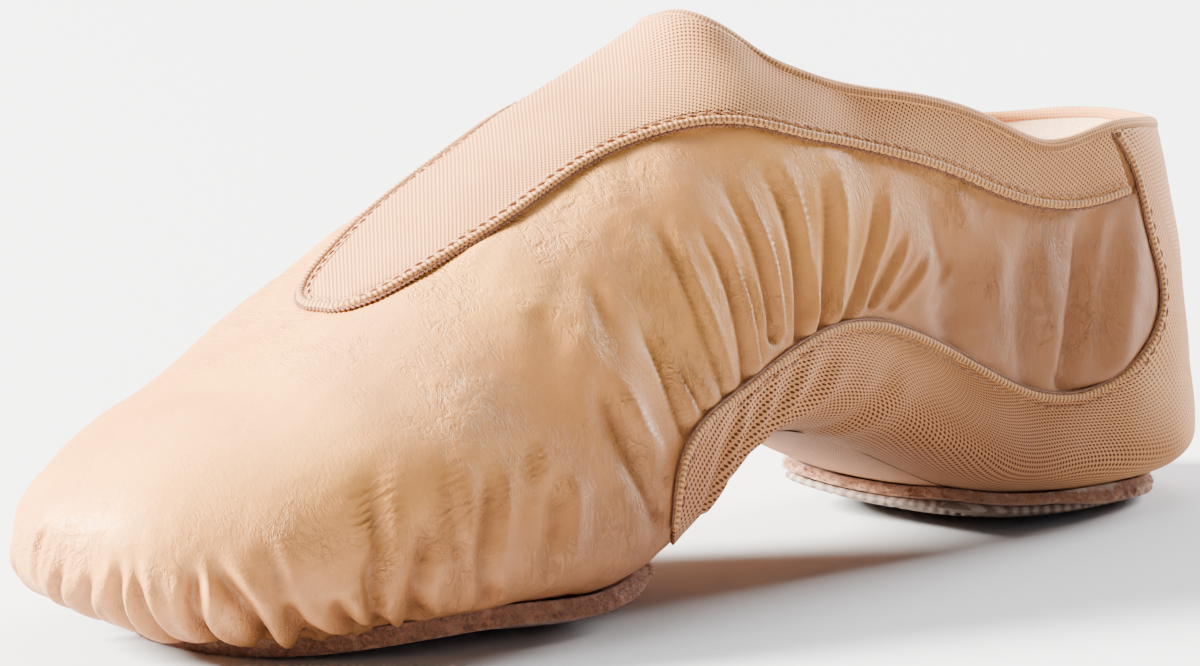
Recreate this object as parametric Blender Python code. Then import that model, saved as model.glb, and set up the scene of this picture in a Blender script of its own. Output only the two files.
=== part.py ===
"""Slip-on split-sole jazz shoe, left foot: leather shell, mesh overlays, two pads and an insole."""
from collections import namedtuple

import bpy
import numpy as np

MM = 0.001

LENGTH = 245 * MM
BALL_WIDTH = 88 * MM
HEEL_WIDTH = 58 * MM
INSTEP_HEIGHT = 93 * MM
ARCH_HEIGHT = 20 * MM
FORE_LIFT = 3.6 * MM
HEEL_LIFT = 4.7 * MM
HEEL_ROUND = 34 * MM
TOE_ROUND = 62 * MM
HEEL_LEAN = 8 * MM
BALL = BALL_WIDTH / 2
HEEL = HEEL_WIDTH / 2

WALL = 1.2 * MM
OVERLAY = 0.8 * MM
EDGE_BAND = 1.2 * MM
GAP = 0.3 * MM
PAD_GAP = 0.4 * MM
OVERLAY_GAP = 0.65 * MM
INSOLE_GAP = 0.7 * MM
EDGE_WIDTH = 2.8 * MM
CORD_RADIUS = 0.85 * MM
RIM_RADIUS = 1.3 * MM
PAD_THICK = 3.3 * MM
HEEL_PAD_THICK = 1.9 * MM
TREAD_THICK = 1.3 * MM
TREAD_GAP = 0.2 * MM
TREAD_STEP = 2.5 * MM
INSOLE_THICK = 1.8 * MM

SIDE_POWER = 2.3
CROWN_POWER = 1.9
BELLY_POWER = 3.0
HEEL_FLAT = 3.0
FLAT_FRONT = 0.36
FLAT_BACK = 0.22
HEEL_POWER = 2.4
HEEL_SQUARE = 1.5
TOE_POWER = 2.8
LEAN_LIMIT = 1.2

CENTRE = np.array([0.51 * LENGTH, 0.0, 0.50 * INSTEP_HEIGHT])
FRAME_BACK = 0.7 * MM
FRAME_RIGHT = 1.15 * MM
FRAME_ORIGIN = np.array([0.5 * LENGTH - FRAME_BACK, -FRAME_RIGHT, 0.0])
PROBE = 0.02 * MM
SOLVE_STEPS = 40

Section = namedtuple("Section", "along swing left right wide top under lean")
SECTIONS = [
    Section(0.00, 0.0, 1.00 * HEEL, 1.00 * HEEL, 0.248 * INSTEP_HEIGHT, 1.20 * INSTEP_HEIGHT, HEEL_LIFT, 0.0),
    Section(0.12, 0.0, 1.03 * HEEL, 1.00 * HEEL, 0.248 * INSTEP_HEIGHT, 1.20 * INSTEP_HEIGHT, HEEL_LIFT, 0.0),
    Section(0.24, 0.0, 1.05 * HEEL, 0.97 * HEEL, 0.28 * INSTEP_HEIGHT, 1.12 * INSTEP_HEIGHT,
            HEEL_LIFT + 0.12 * ARCH_HEIGHT, 0.0),
    Section(0.36, 1 * MM, 1.06 * HEEL, 0.95 * HEEL, 0.355 * INSTEP_HEIGHT, 1.04 * INSTEP_HEIGHT,
            FORE_LIFT + 0.75 * ARCH_HEIGHT, -1.5 * MM),
    Section(0.46, 1 * MM, 1.14 * HEEL, 1.00 * HEEL, 0.387 * INSTEP_HEIGHT, 0.965 * INSTEP_HEIGHT,
            FORE_LIFT + 1.05 * ARCH_HEIGHT, -3 * MM),
    Section(0.54, 1 * MM, 0.82 * BALL, 0.80 * BALL, 0.323 * INSTEP_HEIGHT, 0.87 * INSTEP_HEIGHT,
            FORE_LIFT + 0.80 * ARCH_HEIGHT, -4 * MM),
    Section(0.62, 1 * MM, 0.90 * BALL, 0.92 * BALL, 0.226 * INSTEP_HEIGHT, 0.775 * INSTEP_HEIGHT,
            FORE_LIFT + 0.10 * ARCH_HEIGHT, -4 * MM),
    Section(0.74, -1 * MM, 0.96 * BALL, 1.00 * BALL, 0.194 * INSTEP_HEIGHT, 0.615 * INSTEP_HEIGHT,
            FORE_LIFT, -4 * MM),
    Section(0.86, -3 * MM, 0.87 * BALL, 0.88 * BALL, 0.183 * INSTEP_HEIGHT, 0.48 * INSTEP_HEIGHT,
            FORE_LIFT - 0.05 * ARCH_HEIGHT, -2 * MM),
    Section(1.00, -6 * MM, 0.78 * BALL, 0.80 * BALL, 0.215 * INSTEP_HEIGHT, 0.43 * INSTEP_HEIGHT,
            FORE_LIFT - 0.05 * ARCH_HEIGHT, 0.0),
]

Rim = namedtuple("Rim", "along out rise rise_inner")
COLLAR = [
    Rim(0.022, 0.00, 0.685, 0.685),
    Rim(0.032, 0.22, 0.685, 0.672),
    Rim(0.052, 0.38, 0.690, 0.660),
    Rim(0.085, 0.50, 0.700, 0.652),
    Rim(0.139, 0.59, 0.715, 0.655),
    Rim(0.210, 0.60, 0.705, 0.665),
    Rim(0.246, 0.58, 0.750, 0.695),
    Rim(0.299, 0.545, 0.810, 0.750),
    Rim(0.375, 0.48, 0.858, 0.815),
    Rim(0.417, 0.40, 0.888, 0.862),
    Rim(0.441, 0.26, 0.935, 0.920),
    Rim(0.456, 0.12, 0.982, 0.978),
    Rim(0.460, 0.00, 1.000, 1.000),
]

Seam = namedtuple("Seam", "along out rise rim")
GORE_SEAM = [
    Seam(0.130, 0.62, 0.598, 0),
    Seam(0.157, 0.635, 0.591, 0.06),
    Seam(0.205, 0.635, 0.596, 0.2),
    Seam(0.255, 0.63, 0.637, 0.33),
    Seam(0.300, 0.62, 0.695, 0.45),
    Seam(0.345, 0.61, 0.740, 0.55),
    Seam(0.390, 0.61, 0.785, 0.64),
    Seam(0.431, 0.59, 0.810, 0.72),
    Seam(0.469, 0.53, 0.830, 0.79),
    Seam(0.504, 0.46, 0.830, 0.85),
    Seam(0.540, 0.40, 0.815, 0.89),
    Seam(0.585, 0.35, 0.785, 0.92),
    Seam(0.640, 0.33, 0.725, 0.945),
    Seam(0.695, 0.30, 0.658, 0.965),
    Seam(0.735, 0.255, 0.610, 0.98),
    Seam(0.760, 0.185, 0.580, 0.99),
    Seam(0.772, 0.095, 0.570, 0.995),
    Seam(0.775, 0.00, 0.570, 1),
]

Edge = namedtuple("Edge", "along out rise foot")
QUARTER_EDGE = [
    Edge(0.630, 0.93, 0.170, 0.570),
    Edge(0.615, 0.90, 0.290, 0.540),
    Edge(0.545, 0.82, 0.390, 0.470),
    Edge(0.477, 0.77, 0.445, 0.415),
    Edge(0.415, 0.735, 0.463, 0.365),
    Edge(0.350, 0.71, 0.420, 0.310),
    Edge(0.280, 0.70, 0.330, 0.260),
    Edge(0.225, 0.69, 0.268, 0.215),
    Edge(0.165, 0.68, 0.262, 0.160),
    Edge(0.115, 0.675, 0.310, 0.110),
    Edge(0.091, 0.64, 0.400, 0.075),
    Edge(0.103, 0.632, 0.520, 0.058),
    Edge(0.115, 0.61, 0.625, 0.048),
    Edge(0.139, 0.59, 0.715, 0.040),
]

Outline = namedtuple("Outline", "along left right")
FORE_PAD = [
    Outline(0.582, 0.00, 0.00),
    Outline(0.590, 0.38, 0.38),
    Outline(0.610, 0.62, 0.62),
    Outline(0.640, 0.78, 0.78),
    Outline(0.690, 0.86, 0.87),
    Outline(0.740, 0.86, 0.89),
    Outline(0.790, 0.82, 0.85),
    Outline(0.845, 0.71, 0.75),
    Outline(0.885, 0.50, 0.54),
    Outline(0.905, 0.27, 0.30),
    Outline(0.911, 0.00, 0.00),
]
HEEL_PAD = [
    Outline(0.020, 0.00, 0.00),
    Outline(0.027, 0.26, 0.26),
    Outline(0.050, 0.45, 0.45),
    Outline(0.095, 0.565, 0.555),
    Outline(0.150, 0.59, 0.57),
    Outline(0.205, 0.565, 0.545),
    Outline(0.245, 0.46, 0.44),
    Outline(0.265, 0.26, 0.25),
    Outline(0.270, 0.00, 0.00),
]
INSOLE = [
    Outline(0.050, 0.00, 0.00),
    Outline(0.060, 0.24, 0.24),
    Outline(0.095, 0.42, 0.42),
    Outline(0.170, 0.50, 0.49),
    Outline(0.300, 0.48, 0.45),
    Outline(0.430, 0.54, 0.48),
    Outline(0.540, 0.66, 0.62),
    Outline(0.640, 0.74, 0.75),
    Outline(0.740, 0.75, 0.78),
    Outline(0.830, 0.66, 0.70),
    Outline(0.890, 0.46, 0.52),
    Outline(0.925, 0.22, 0.26),
    Outline(0.932, 0.00, 0.00),
]

UNDER_BACK = 0.065
UNDER_FRONT = 0.835
UNDER_SHARE = 0.56
UNDER_POWER = 0.75
BRIDGE_BACK = 0.225
BRIDGE_FRONT = 0.605
PANEL_BRIDGE_BACK = 0.24
PANEL_FOOT_SHARE = 0.60

COLUMNS = 80
SIDE_SHARES = (0.0, 0.16, 0.33, 0.5, 0.67, 0.84)
TOE_CROWD = 1.3
BELLY_SHARES = (0.0, 0.2, 0.36, 0.5, 0.62, 0.74, 0.86, 1.0)
BRIDGE_ROWS = 5
GORE_COLUMNS = 42
GORE_ROWS = 5
PANEL_SIDE = 33
PANEL_BACK = 19
PANEL_SHARES = (0.0, 0.18, 0.36, 0.5, 0.6, 0.68, 0.75, 0.81, 0.87, 0.93, 1.0)
CORD_STEPS = 40
CORD_SIDES = 4
OUTLINE_STEPS = 96
FORE_STEPS = 32
FORE_RINGS = (0.4, 0.68, 0.87, 1.0)
HEEL_STEPS = 30
HEEL_RINGS = (0.45, 0.75, 0.91, 1.0)
INSOLE_STATIONS = 24
INSOLE_COLUMNS = 7
PLANK_CROWD = 0.06

COLOURS = {
    "leather": (0.73, 0.47, 0.31),
    "mesh": (0.70, 0.45, 0.30),
    "cord": (0.52, 0.27, 0.15),
    "suede": (0.35, 0.17, 0.10),
    "heel_suede": (0.52, 0.27, 0.17),
    "rubber": (0.24, 0.17, 0.13),
    "lining": (0.70, 0.50, 0.36),
}
FINISHES = {"leather": 0.42, "mesh": 0.75, "cord": 0.70, "suede": 0.95,
            "heel_suede": 0.92, "rubber": 0.65, "lining": 0.85}


def spline(knots, values):
    """A natural cubic through the values at the knots, as a function."""
    knots = np.asarray(knots, float)
    values = np.asarray(values, float)
    last = len(knots) - 1
    gaps = np.diff(knots)
    matrix = np.eye(len(knots))
    right = np.zeros(values.shape)
    for i in range(1, last):
        matrix[i, i - 1:i + 2] = gaps[i - 1], 2 * (gaps[i - 1] + gaps[i]), gaps[i]
        right[i] = 6 * ((values[i + 1] - values[i]) / gaps[i] - (values[i] - values[i - 1]) / gaps[i - 1])
    bend = np.linalg.solve(matrix, right)

    def at(where):
        where = np.clip(where, knots[0], knots[-1])
        i = np.clip(np.searchsorted(knots, where) - 1, 0, last - 1)
        t = where - knots[i]
        gap = gaps[i]
        if values.ndim > 1:
            t = t[..., None]
            gap = gap[..., None]
        slope = (values[i + 1] - values[i]) / gap - gap * (2 * bend[i] + bend[i + 1]) / 6
        return values[i] + slope * t + bend[i] / 2 * t ** 2 + (bend[i + 1] - bend[i]) / (6 * gap) * t ** 3

    return at


ALONG = [section.along for section in SECTIONS]
SWING, LEFT, RIGHT, WIDE, TOP, UNDER, LEAN = [
    spline(ALONG, [section[k] for section in SECTIONS]) for k in range(1, len(Section._fields))]


def belly_power(share):
    """How boxy the underside is: flatter beneath the heel."""
    flat = np.clip((FLAT_FRONT - share) / (FLAT_FRONT - FLAT_BACK), 0, 1)
    return BELLY_POWER + HEEL_FLAT * flat * flat * (3 - 2 * flat)


def form(points):
    """Below zero inside the last, above zero outside it."""
    x, y, z = points[..., 0], points[..., 1], points[..., 2]
    share = x / LENGTH
    wide = WIDE(share)
    above = z > wide
    crown = (z - wide) / (TOP(share) - wide)
    belly = (wide - z) / (wide - UNDER(share))
    centre = SWING(share) + LEAN(share) * np.clip(crown, 0, LEAN_LIMIT)
    half = np.where(y > centre, LEFT(share), RIGHT(share))
    height = np.where(above, np.abs(crown) ** CROWN_POWER, np.abs(belly) ** belly_power(share))
    leaning = x - HEEL_LEAN * np.maximum(z - wide, 0) / INSTEP_HEIGHT
    square = HEEL_POWER + HEEL_SQUARE * np.clip(belly, 0, 1)
    heel = np.maximum(1 - leaning / HEEL_ROUND, 0) ** square
    toe = np.maximum(1 - (LENGTH - x) / TOE_ROUND, 0) ** TOE_POWER
    return (np.abs(y - centre) / half) ** SIDE_POWER + height + heel + toe - 1


def toward(points):
    """The spots where rays from the centre through the points leave the last."""
    ray = points - CENTRE
    ray = ray / np.linalg.norm(ray, axis=-1, keepdims=True)
    near = np.zeros(ray.shape[:-1])
    far = np.full(ray.shape[:-1], LENGTH)
    for _ in range(SOLVE_STEPS):
        middle = (near + far) / 2
        inside = form(CENTRE + ray * middle[..., None]) < 0
        near = np.where(inside, middle, near)
        far = np.where(inside, far, middle)
    return CENTRE + ray * near[..., None]


def outward(points):
    """Unit normals of the last at the points."""
    slopes = [form(points + step) - form(points - step) for step in np.eye(3) * PROBE]
    normals = np.stack(slopes, -1)
    return normals / np.linalg.norm(normals, axis=-1, keepdims=True)


def between(start, end, share):
    """Spots on the last part of the way from one guide to the other, seen from the centre."""
    a = start - CENTRE
    b = end - CENTRE
    a = a / np.linalg.norm(a, axis=-1, keepdims=True)
    b = b / np.linalg.norm(b, axis=-1, keepdims=True)
    turn = np.arccos(np.clip((a * b).sum(-1, keepdims=True), -1, 1))
    return toward(CENTRE + (np.sin((1 - share) * turn) * a + np.sin(share * turn) * b) / np.sin(turn))


def even(points, count, closed=False):
    """A curve through the points in count evenly spaced spots."""
    points = np.asarray(points, float)
    if closed:
        points = np.concatenate([points, points[:1]])
    steps = np.linalg.norm(np.diff(points, axis=0), axis=1)
    length = np.concatenate([[0], np.cumsum(steps)])
    curve = spline(length, points)
    return curve(np.linspace(0, length[-1], count, endpoint=not closed))


def spot(along, out, rise, side=1):
    """A point from shares of the shoe's length, ball and instep, beside the ridge of the last."""
    share = np.asarray(along, float)
    crown = (np.asarray(rise) * INSTEP_HEIGHT - WIDE(share)) / (TOP(share) - WIDE(share))
    axis = SWING(share) + LEAN(share) * np.clip(crown, 0, 1)
    return np.stack([share * LENGTH, axis + side * np.asarray(out) * BALL,
                     np.asarray(rise) * INSTEP_HEIGHT], -1)


def rim_side(side, rows=COLLAR):
    """One side of the collar, back to front."""
    return np.array([spot(row.along, row.out, row.rise if side > 0 else row.rise_inner, side)
                     for row in rows])


def collar(count):
    """The collar as a closed loop from the back over the left side and the front."""
    half = count // 2
    left = even(toward(rim_side(1)), half + 1)
    right = even(toward(rim_side(-1)), half + 1)
    return toward(np.concatenate([left[:-1], right[:0:-1]]))


def turned(count):
    """Angles from the back over the left side, with their shares along the shoe."""
    angle = np.linspace(0, 2 * np.pi, count, endpoint=False)
    return angle, 0.5 - 0.5 * np.cos(angle)


def wide_loop(count):
    """The widest line of the last."""
    angle, share = turned(count)
    half = np.where(np.sin(angle) > 0, LEFT(share), RIGHT(share))
    return np.stack([share * LENGTH, SWING(share) + half * np.sin(angle), WIDE(share)], -1)


def under_loop(count):
    """The edge where the leather ends beneath the foot."""
    angle, share = turned(count)
    share = UNDER_BACK + (UNDER_FRONT - UNDER_BACK) * share
    half = UNDER_SHARE * np.where(np.sin(angle) > 0, LEFT(share), RIGHT(share))
    across = np.sign(np.sin(angle)) * np.abs(np.sin(angle)) ** UNDER_POWER
    return np.stack([share * LENGTH, SWING(share) + half * across, UNDER(share)], -1)


def grid_faces(rows, columns, closed):
    """Quads of a grid whose rows run downwards and whose columns run to the left side first."""
    faces = []
    for i in range(rows - 1):
        for j in range(columns if closed else columns - 1):
            k = (j + 1) % columns
            faces.append((i * columns + j, i * columns + k, (i + 1) * columns + k, (i + 1) * columns + j))
    return faces


def bridge(grid, pairs, faces, rows):
    """Join the last row of a grid to itself across the arch, over the given column pairs."""
    columns = grid.shape[1]
    points = list(grid.reshape(-1, 3))
    edge = (grid.shape[0] - 1) * columns
    strips = []
    for left, right in pairs:
        strip = [edge + left]
        for k in range(1, rows):
            strip.append(len(points))
            points.append(between(grid[-1, left], grid[-1, right], k / rows))
        strips.append(strip + [edge + right])
    for near, far in zip(strips[:-1], strips[1:]):
        for k in range(rows):
            faces.append((near[k], far[k], far[k + 1], near[k + 1]))
    return np.array(points), faces


def open_edges(faces):
    """Directed edges that only one face has."""
    edges = set()
    for face in faces:
        for a, b in zip(face, face[1:] + face[:1]):
            edges.add((a, b))
    return [(a, b) for a, b in sorted(edges) if (b, a) not in edges]


def solid(name, slot, points, faces):
    """A named object with its own plain material, wound outwards."""
    points = np.asarray(points) - FRAME_ORIGIN
    volume = 0.0
    for face in faces:
        for b, c in zip(face[1:-1], face[2:]):
            volume += np.dot(points[face[0]], np.cross(points[b], points[c]))
    if volume < 0:
        faces = [tuple(reversed(face)) for face in faces]
    mesh = bpy.data.meshes.new(name)
    mesh.from_pydata(points.tolist(), [], [tuple(int(i) for i in face) for face in faces])
    mesh.update()
    item = bpy.data.objects.new(name, mesh)
    bpy.context.scene.collection.objects.link(item)
    material = bpy.data.materials.new(name + "_" + slot)
    material.use_nodes = True
    shader = material.node_tree.nodes["Principled BSDF"]
    shader.inputs["Base Color"].default_value = (*COLOURS[slot], 1.0)
    shader.inputs["Roughness"].default_value = FINISHES[slot]
    mesh.materials.append(material)
    return item


def shell(name, slot, points, faces, low, high, floor=None):
    """A wall between two offsets of a skin that lies on the last."""
    normals = outward(points)
    outer = points + normals * high
    inner = points + normals * low
    if floor is not None:
        outer[:, 2] = np.maximum(outer[:, 2], floor)
    count = len(points)
    quads = list(faces)
    quads += [tuple(count + i for i in reversed(face)) for face in faces]
    quads += [(b, a, count + a, count + b) for a, b in open_edges(faces)]
    return solid(name, slot, np.concatenate([outer, inner]), quads)


def ring_tube(name, slot, path, normals, radius, closed):
    """A round cord along a path, with flat ends when it is open."""
    if closed:
        ahead = np.roll(path, -1, 0) - np.roll(path, 1, 0)
    else:
        ahead = np.gradient(path, axis=0)
    ahead = ahead / np.linalg.norm(ahead, axis=1, keepdims=True)
    aside = np.cross(ahead, normals)
    aside = aside / np.linalg.norm(aside, axis=1, keepdims=True)
    up = np.cross(aside, ahead)
    turn = np.arange(CORD_SIDES) * 2 * np.pi / CORD_SIDES
    points = path[:, None] + radius * (np.cos(turn)[None, :, None] * up[:, None]
                                       + np.sin(turn)[None, :, None] * aside[:, None])
    rows = len(path)
    faces = []
    for i in range(rows if closed else rows - 1):
        for k in range(CORD_SIDES):
            m = (k + 1) % CORD_SIDES
            j = (i + 1) % rows
            faces.append((i * CORD_SIDES + k, i * CORD_SIDES + m, j * CORD_SIDES + m, j * CORD_SIDES + k))
    if not closed:
        faces.append(tuple(reversed(range(CORD_SIDES))))
        faces.append(tuple(range((rows - 1) * CORD_SIDES, rows * CORD_SIDES)))
    return solid(name, slot, points.reshape(-1, 3), faces)


def outline(table, steps, shrink=0.0):
    """A table's outline under the last as an evenly stepped closed loop."""
    share = np.array([row.along for row in table])
    left = np.stack([share * LENGTH, SWING(share) + np.array([row.left for row in table]) * BALL,
                     UNDER(share)], -1)
    right = np.stack([share * LENGTH, SWING(share) - np.array([row.right for row in table]) * BALL,
                      UNDER(share)], -1)
    loop = even(np.concatenate([left[:-1], right[:0:-1]]), steps, closed=True)
    middle = loop.mean(0)
    reach = np.linalg.norm((loop - middle)[:, :2], axis=1, keepdims=True)
    return middle, middle + (loop - middle) * (1 - shrink / reach)


def disc(table, steps, rings, shrink=0.0):
    """Points and faces of a plate under the last, in rings inside a table's outline."""
    middle, loop = outline(table, steps, shrink)
    flat = [middle]
    for ring in rings:
        flat.extend(middle + (loop - middle) * ring)
    flat = np.array(flat)
    flat[:, 2] = UNDER(flat[:, 0] / LENGTH)
    faces = [(0, 1 + j, 1 + (j + 1) % steps) for j in range(steps)]
    for ring in range(len(rings) - 1):
        base = 1 + ring * steps
        for j in range(steps):
            k = (j + 1) % steps
            faces.append((base + j, base + steps + j, base + steps + k, base + k))
    return toward(flat), faces


def plank(table, stations, across):
    """Points and faces of a long plate under the last, in stations along a table's outline."""
    loop = outline(table, OUTLINE_STEPS)[1]
    front = int(np.argmax(loop[:, 0]))
    left = loop[:front + 1]
    right = np.concatenate([loop[:1], loop[:front - 1:-1]])
    even_share = np.linspace(0, 1, stations + 2)[1:-1]
    share = even_share - PLANK_CROWD * np.sin(2 * np.pi * even_share)
    along = loop[:, 0].min() + share * np.ptp(loop[:, 0])
    near = np.interp(along, left[:, 0], left[:, 1])
    far = np.interp(along, right[:, 0], right[:, 1])
    share = np.linspace(0, 1, across)
    rows = [np.stack([np.full(across, x), y + (far_y - y) * share,
                      np.full(across, UNDER(x / LENGTH))], -1)
            for x, y, far_y in zip(along, near, far)]
    return toward(np.concatenate(rows)), grid_faces(stations, across, False)


def upper_skin():
    """The leather: collar to widest line to the edge beneath, joined under the arch."""
    rim, wide, under = collar(COLUMNS), wide_loop(COLUMNS), under_loop(COLUMNS)
    crowd = 1 + TOE_CROWD * (turned(COLUMNS)[1] ** 3)[:, None]
    rows = [between(rim, wide, 1 - (1 - share) ** crowd) for share in SIDE_SHARES]
    rows += [between(wide, under, share) for share in BELLY_SHARES]
    grid = np.array(rows)
    share = under[:, 0] / LENGTH
    pairs = [(j, COLUMNS - j) for j in range(1, COLUMNS // 2) if BRIDGE_BACK < share[j] < BRIDGE_FRONT]
    return bridge(grid, pairs, grid_faces(len(rows), COLUMNS, True), BRIDGE_ROWS)


def quarter_edge(side, count):
    """The lower and rear edge of the quarter, from the forefoot to the collar, with its foot line."""
    tops = np.array([spot(row.along, row.out, row.rise, side) for row in QUARTER_EDGE])
    tops[-1] = toward(rim_side(side))[[row.along for row in COLLAR].index(QUARTER_EDGE[-1].along)]
    tops = toward(tops)
    foot = np.array([row.foot for row in QUARTER_EDGE])
    steps = np.concatenate([[0], np.cumsum(np.linalg.norm(np.diff(tops, axis=0), axis=1))])
    share = spline(steps, foot)(np.linspace(0, steps[-1], count))
    half = PANEL_FOOT_SHARE * (LEFT(share) if side > 0 else RIGHT(share))
    feet = np.stack([share * LENGTH, SWING(share) + side * half, UNDER(share)], -1)
    return toward(even(tops, count)), feet


def panel_skin():
    """The mesh below the quarters: across the arch, round the heel and up to the collar."""
    left_top, left_foot = quarter_edge(1, PANEL_SIDE)
    right_top, right_foot = quarter_edge(-1, PANEL_SIDE)
    first = [row.along for row in COLLAR].index(QUARTER_EDGE[-1].along)
    back = np.concatenate([rim_side(1)[first::-1], rim_side(-1)[1:first + 1]])
    back_top = beside(even(toward(back), PANEL_BACK + 2), -2 * GAP)[1:-1]
    share = np.linspace(0, 1, PANEL_BACK + 2)[1:-1, None]
    back_foot = left_foot[-1] * (1 - share) + right_foot[-1] * share
    top = np.concatenate([left_top, back_top, right_top[::-1]])
    foot = toward(np.concatenate([left_foot, back_foot, right_foot[::-1]]))
    clear = CORD_RADIUS + 2 * GAP
    top[:PANEL_SIDE] = beside(left_top, -clear)
    top[-PANEL_SIDE:] = beside(right_top, clear)[::-1]
    grid = np.array([between(top, foot, share) for share in PANEL_SHARES])
    pairs = [(j, len(top) - 1 - j) for j in range(PANEL_SIDE)
             if left_foot[j, 0] / LENGTH > PANEL_BRIDGE_BACK]
    return bridge(grid, pairs, grid_faces(len(grid), len(top), False), BRIDGE_ROWS)


def gore_curves(count):
    """The throat seam and its places on the collar, left back to right back round the front."""
    sides = []
    first = [row.along for row in COLLAR].index(QUARTER_EDGE[-1].along)
    for side in (1, -1):
        tops = toward(np.array([spot(row.along, row.out, row.rise, side) for row in GORE_SEAM]))
        steps = np.concatenate([[0], np.cumsum(np.linalg.norm(np.diff(tops, axis=0), axis=1))])
        where = np.linspace(0, steps[-1], count // 2 + 1)
        share = np.interp(where, steps, [row.rim for row in GORE_SEAM])
        rim = even(toward(rim_side(side)[first:]), count * 4)
        clear = (CORD_RADIUS + 2 * GAP) / np.linalg.norm(np.diff(rim, axis=0), axis=1).sum()
        places = (clear + (1 - clear) * share) * (len(rim) - 1)
        sides.append((toward(spline(steps, tops)(where)), toward(spline(range(len(rim)), rim)(places))))
    (left, left_rim), (right, right_rim) = sides
    seam = np.concatenate([left, right[-2::-1]])
    rim = np.concatenate([left_rim, right_rim[-2::-1]])
    return seam, beside(rim, 2 * GAP)


def beside(curve, distance):
    """A curve shifted across its own run, on the last."""
    ahead = np.gradient(curve, axis=0)
    across = np.cross(outward(curve), ahead)
    return toward(curve + across / np.linalg.norm(across, axis=1, keepdims=True) * distance)


def strip(name, slot, lower, upper, rows, low, high):
    """An overlay between two curves on the last."""
    grid = np.array([between(upper, lower, k / rows) for k in range(rows + 1)])
    faces = grid_faces(len(grid), grid.shape[1], False)
    return shell(name, slot, grid.reshape(-1, 3), faces, low, high)


def cord(name, curve, radius, low):
    """A cord lying on the leather along a curve."""
    normals = outward(curve)
    return ring_tube(name, "cord", curve + normals * (low + radius), normals, radius, False)


def binding():
    """The rolled rim standing on the edge of the collar."""
    rim = collar(COLUMNS)
    normals = outward(rim)
    ahead = np.roll(rim, -1, 0) - np.roll(rim, 1, 0)
    away = np.cross(ahead, normals)
    away = away / np.linalg.norm(away, axis=1, keepdims=True)
    path = rim + away * (RIM_RADIUS + GAP) - normals * WALL / 2
    return ring_tube("collar_binding", "mesh", path, normals, RIM_RADIUS, True)


def build():
    for item in list(bpy.data.objects):
        bpy.data.objects.remove(item)
    shell("upper", "leather", *upper_skin(), -WALL, 0.0)
    seam, rim = gore_curves(GORE_COLUMNS)
    band = beside(seam, -EDGE_WIDTH)
    strip("gore_edge", "mesh", seam, band, 1, OVERLAY_GAP, OVERLAY_GAP + EDGE_BAND)
    strip("throat_gore", "mesh", beside(seam, -EDGE_WIDTH - 2 * GAP), rim, GORE_ROWS,
          OVERLAY_GAP, OVERLAY_GAP + OVERLAY)
    shell("arch_counter_panel", "mesh", *panel_skin(), OVERLAY_GAP, OVERLAY_GAP + OVERLAY)
    for name, side in (("quarter_piping_left", 1), ("quarter_piping_right", -1)):
        cord(name, quarter_edge(side, CORD_STEPS)[0], CORD_RADIUS, GAP)
    binding()
    insole_top = -WALL - INSOLE_GAP - INSOLE_THICK
    shell("insole", "lining", *plank(INSOLE, INSOLE_STATIONS, INSOLE_COLUMNS),
          insole_top, -WALL - INSOLE_GAP)
    shell("forefoot_outsole", "suede", *disc(FORE_PAD, FORE_STEPS, FORE_RINGS),
          PAD_GAP, PAD_GAP + PAD_THICK, 0.0)
    heel_top = OVERLAY_GAP + OVERLAY + GAP
    shell("heel_outsole", "heel_suede", *disc(HEEL_PAD, HEEL_STEPS, HEEL_RINGS),
          heel_top, heel_top + HEEL_PAD_THICK)
    tread_top = heel_top + HEEL_PAD_THICK + TREAD_GAP
    shell("heel_tread", "rubber", *disc(HEEL_PAD, HEEL_STEPS, HEEL_RINGS, TREAD_STEP),
          tread_top, tread_top + TREAD_THICK, 0.0)


build()
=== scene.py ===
"""Looks of a slip-on split-sole jazz shoe: pleated leather, mesh gore and panel, cord and two pads."""
from collections import namedtuple

import bpy
import numpy as np
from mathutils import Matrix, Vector
from mathutils.kdtree import KDTree


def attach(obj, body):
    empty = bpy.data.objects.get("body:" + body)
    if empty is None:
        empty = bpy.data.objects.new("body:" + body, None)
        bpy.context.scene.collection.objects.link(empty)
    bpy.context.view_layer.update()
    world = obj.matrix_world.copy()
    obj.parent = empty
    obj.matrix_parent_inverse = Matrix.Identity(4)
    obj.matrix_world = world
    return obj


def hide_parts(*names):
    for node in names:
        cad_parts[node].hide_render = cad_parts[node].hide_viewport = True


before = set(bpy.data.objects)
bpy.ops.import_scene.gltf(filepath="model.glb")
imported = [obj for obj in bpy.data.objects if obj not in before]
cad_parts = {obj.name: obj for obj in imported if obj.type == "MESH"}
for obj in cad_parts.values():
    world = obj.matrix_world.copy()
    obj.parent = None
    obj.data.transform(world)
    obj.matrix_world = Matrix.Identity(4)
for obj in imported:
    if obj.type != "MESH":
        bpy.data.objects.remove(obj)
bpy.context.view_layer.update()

bl_info = {
    "name": "Jazz shoe",
    "version": (1, 0, 0),
    "blender": (4, 5, 0),
    "location": "3D View > Sidebar > Jazz shoe",
    "description": "Builds the leather, mesh, threads, pads and stage of a jazz shoe",
    "category": "Add Mesh",
}

MM = 0.001
LENGTH = 245 * MM
BALL_WIDTH = 88 * MM
HEEL_WIDTH = 58 * MM
INSTEP_HEIGHT = 93 * MM
ARCH_HEIGHT = 20 * MM
FORE_LIFT = 3.6 * MM
HEEL_LIFT = 4.7 * MM
HEEL_ROUND = 34 * MM
TOE_ROUND = 62 * MM
HEEL_LEAN = 8 * MM
BALL = BALL_WIDTH / 2
HEEL = HEEL_WIDTH / 2

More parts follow.
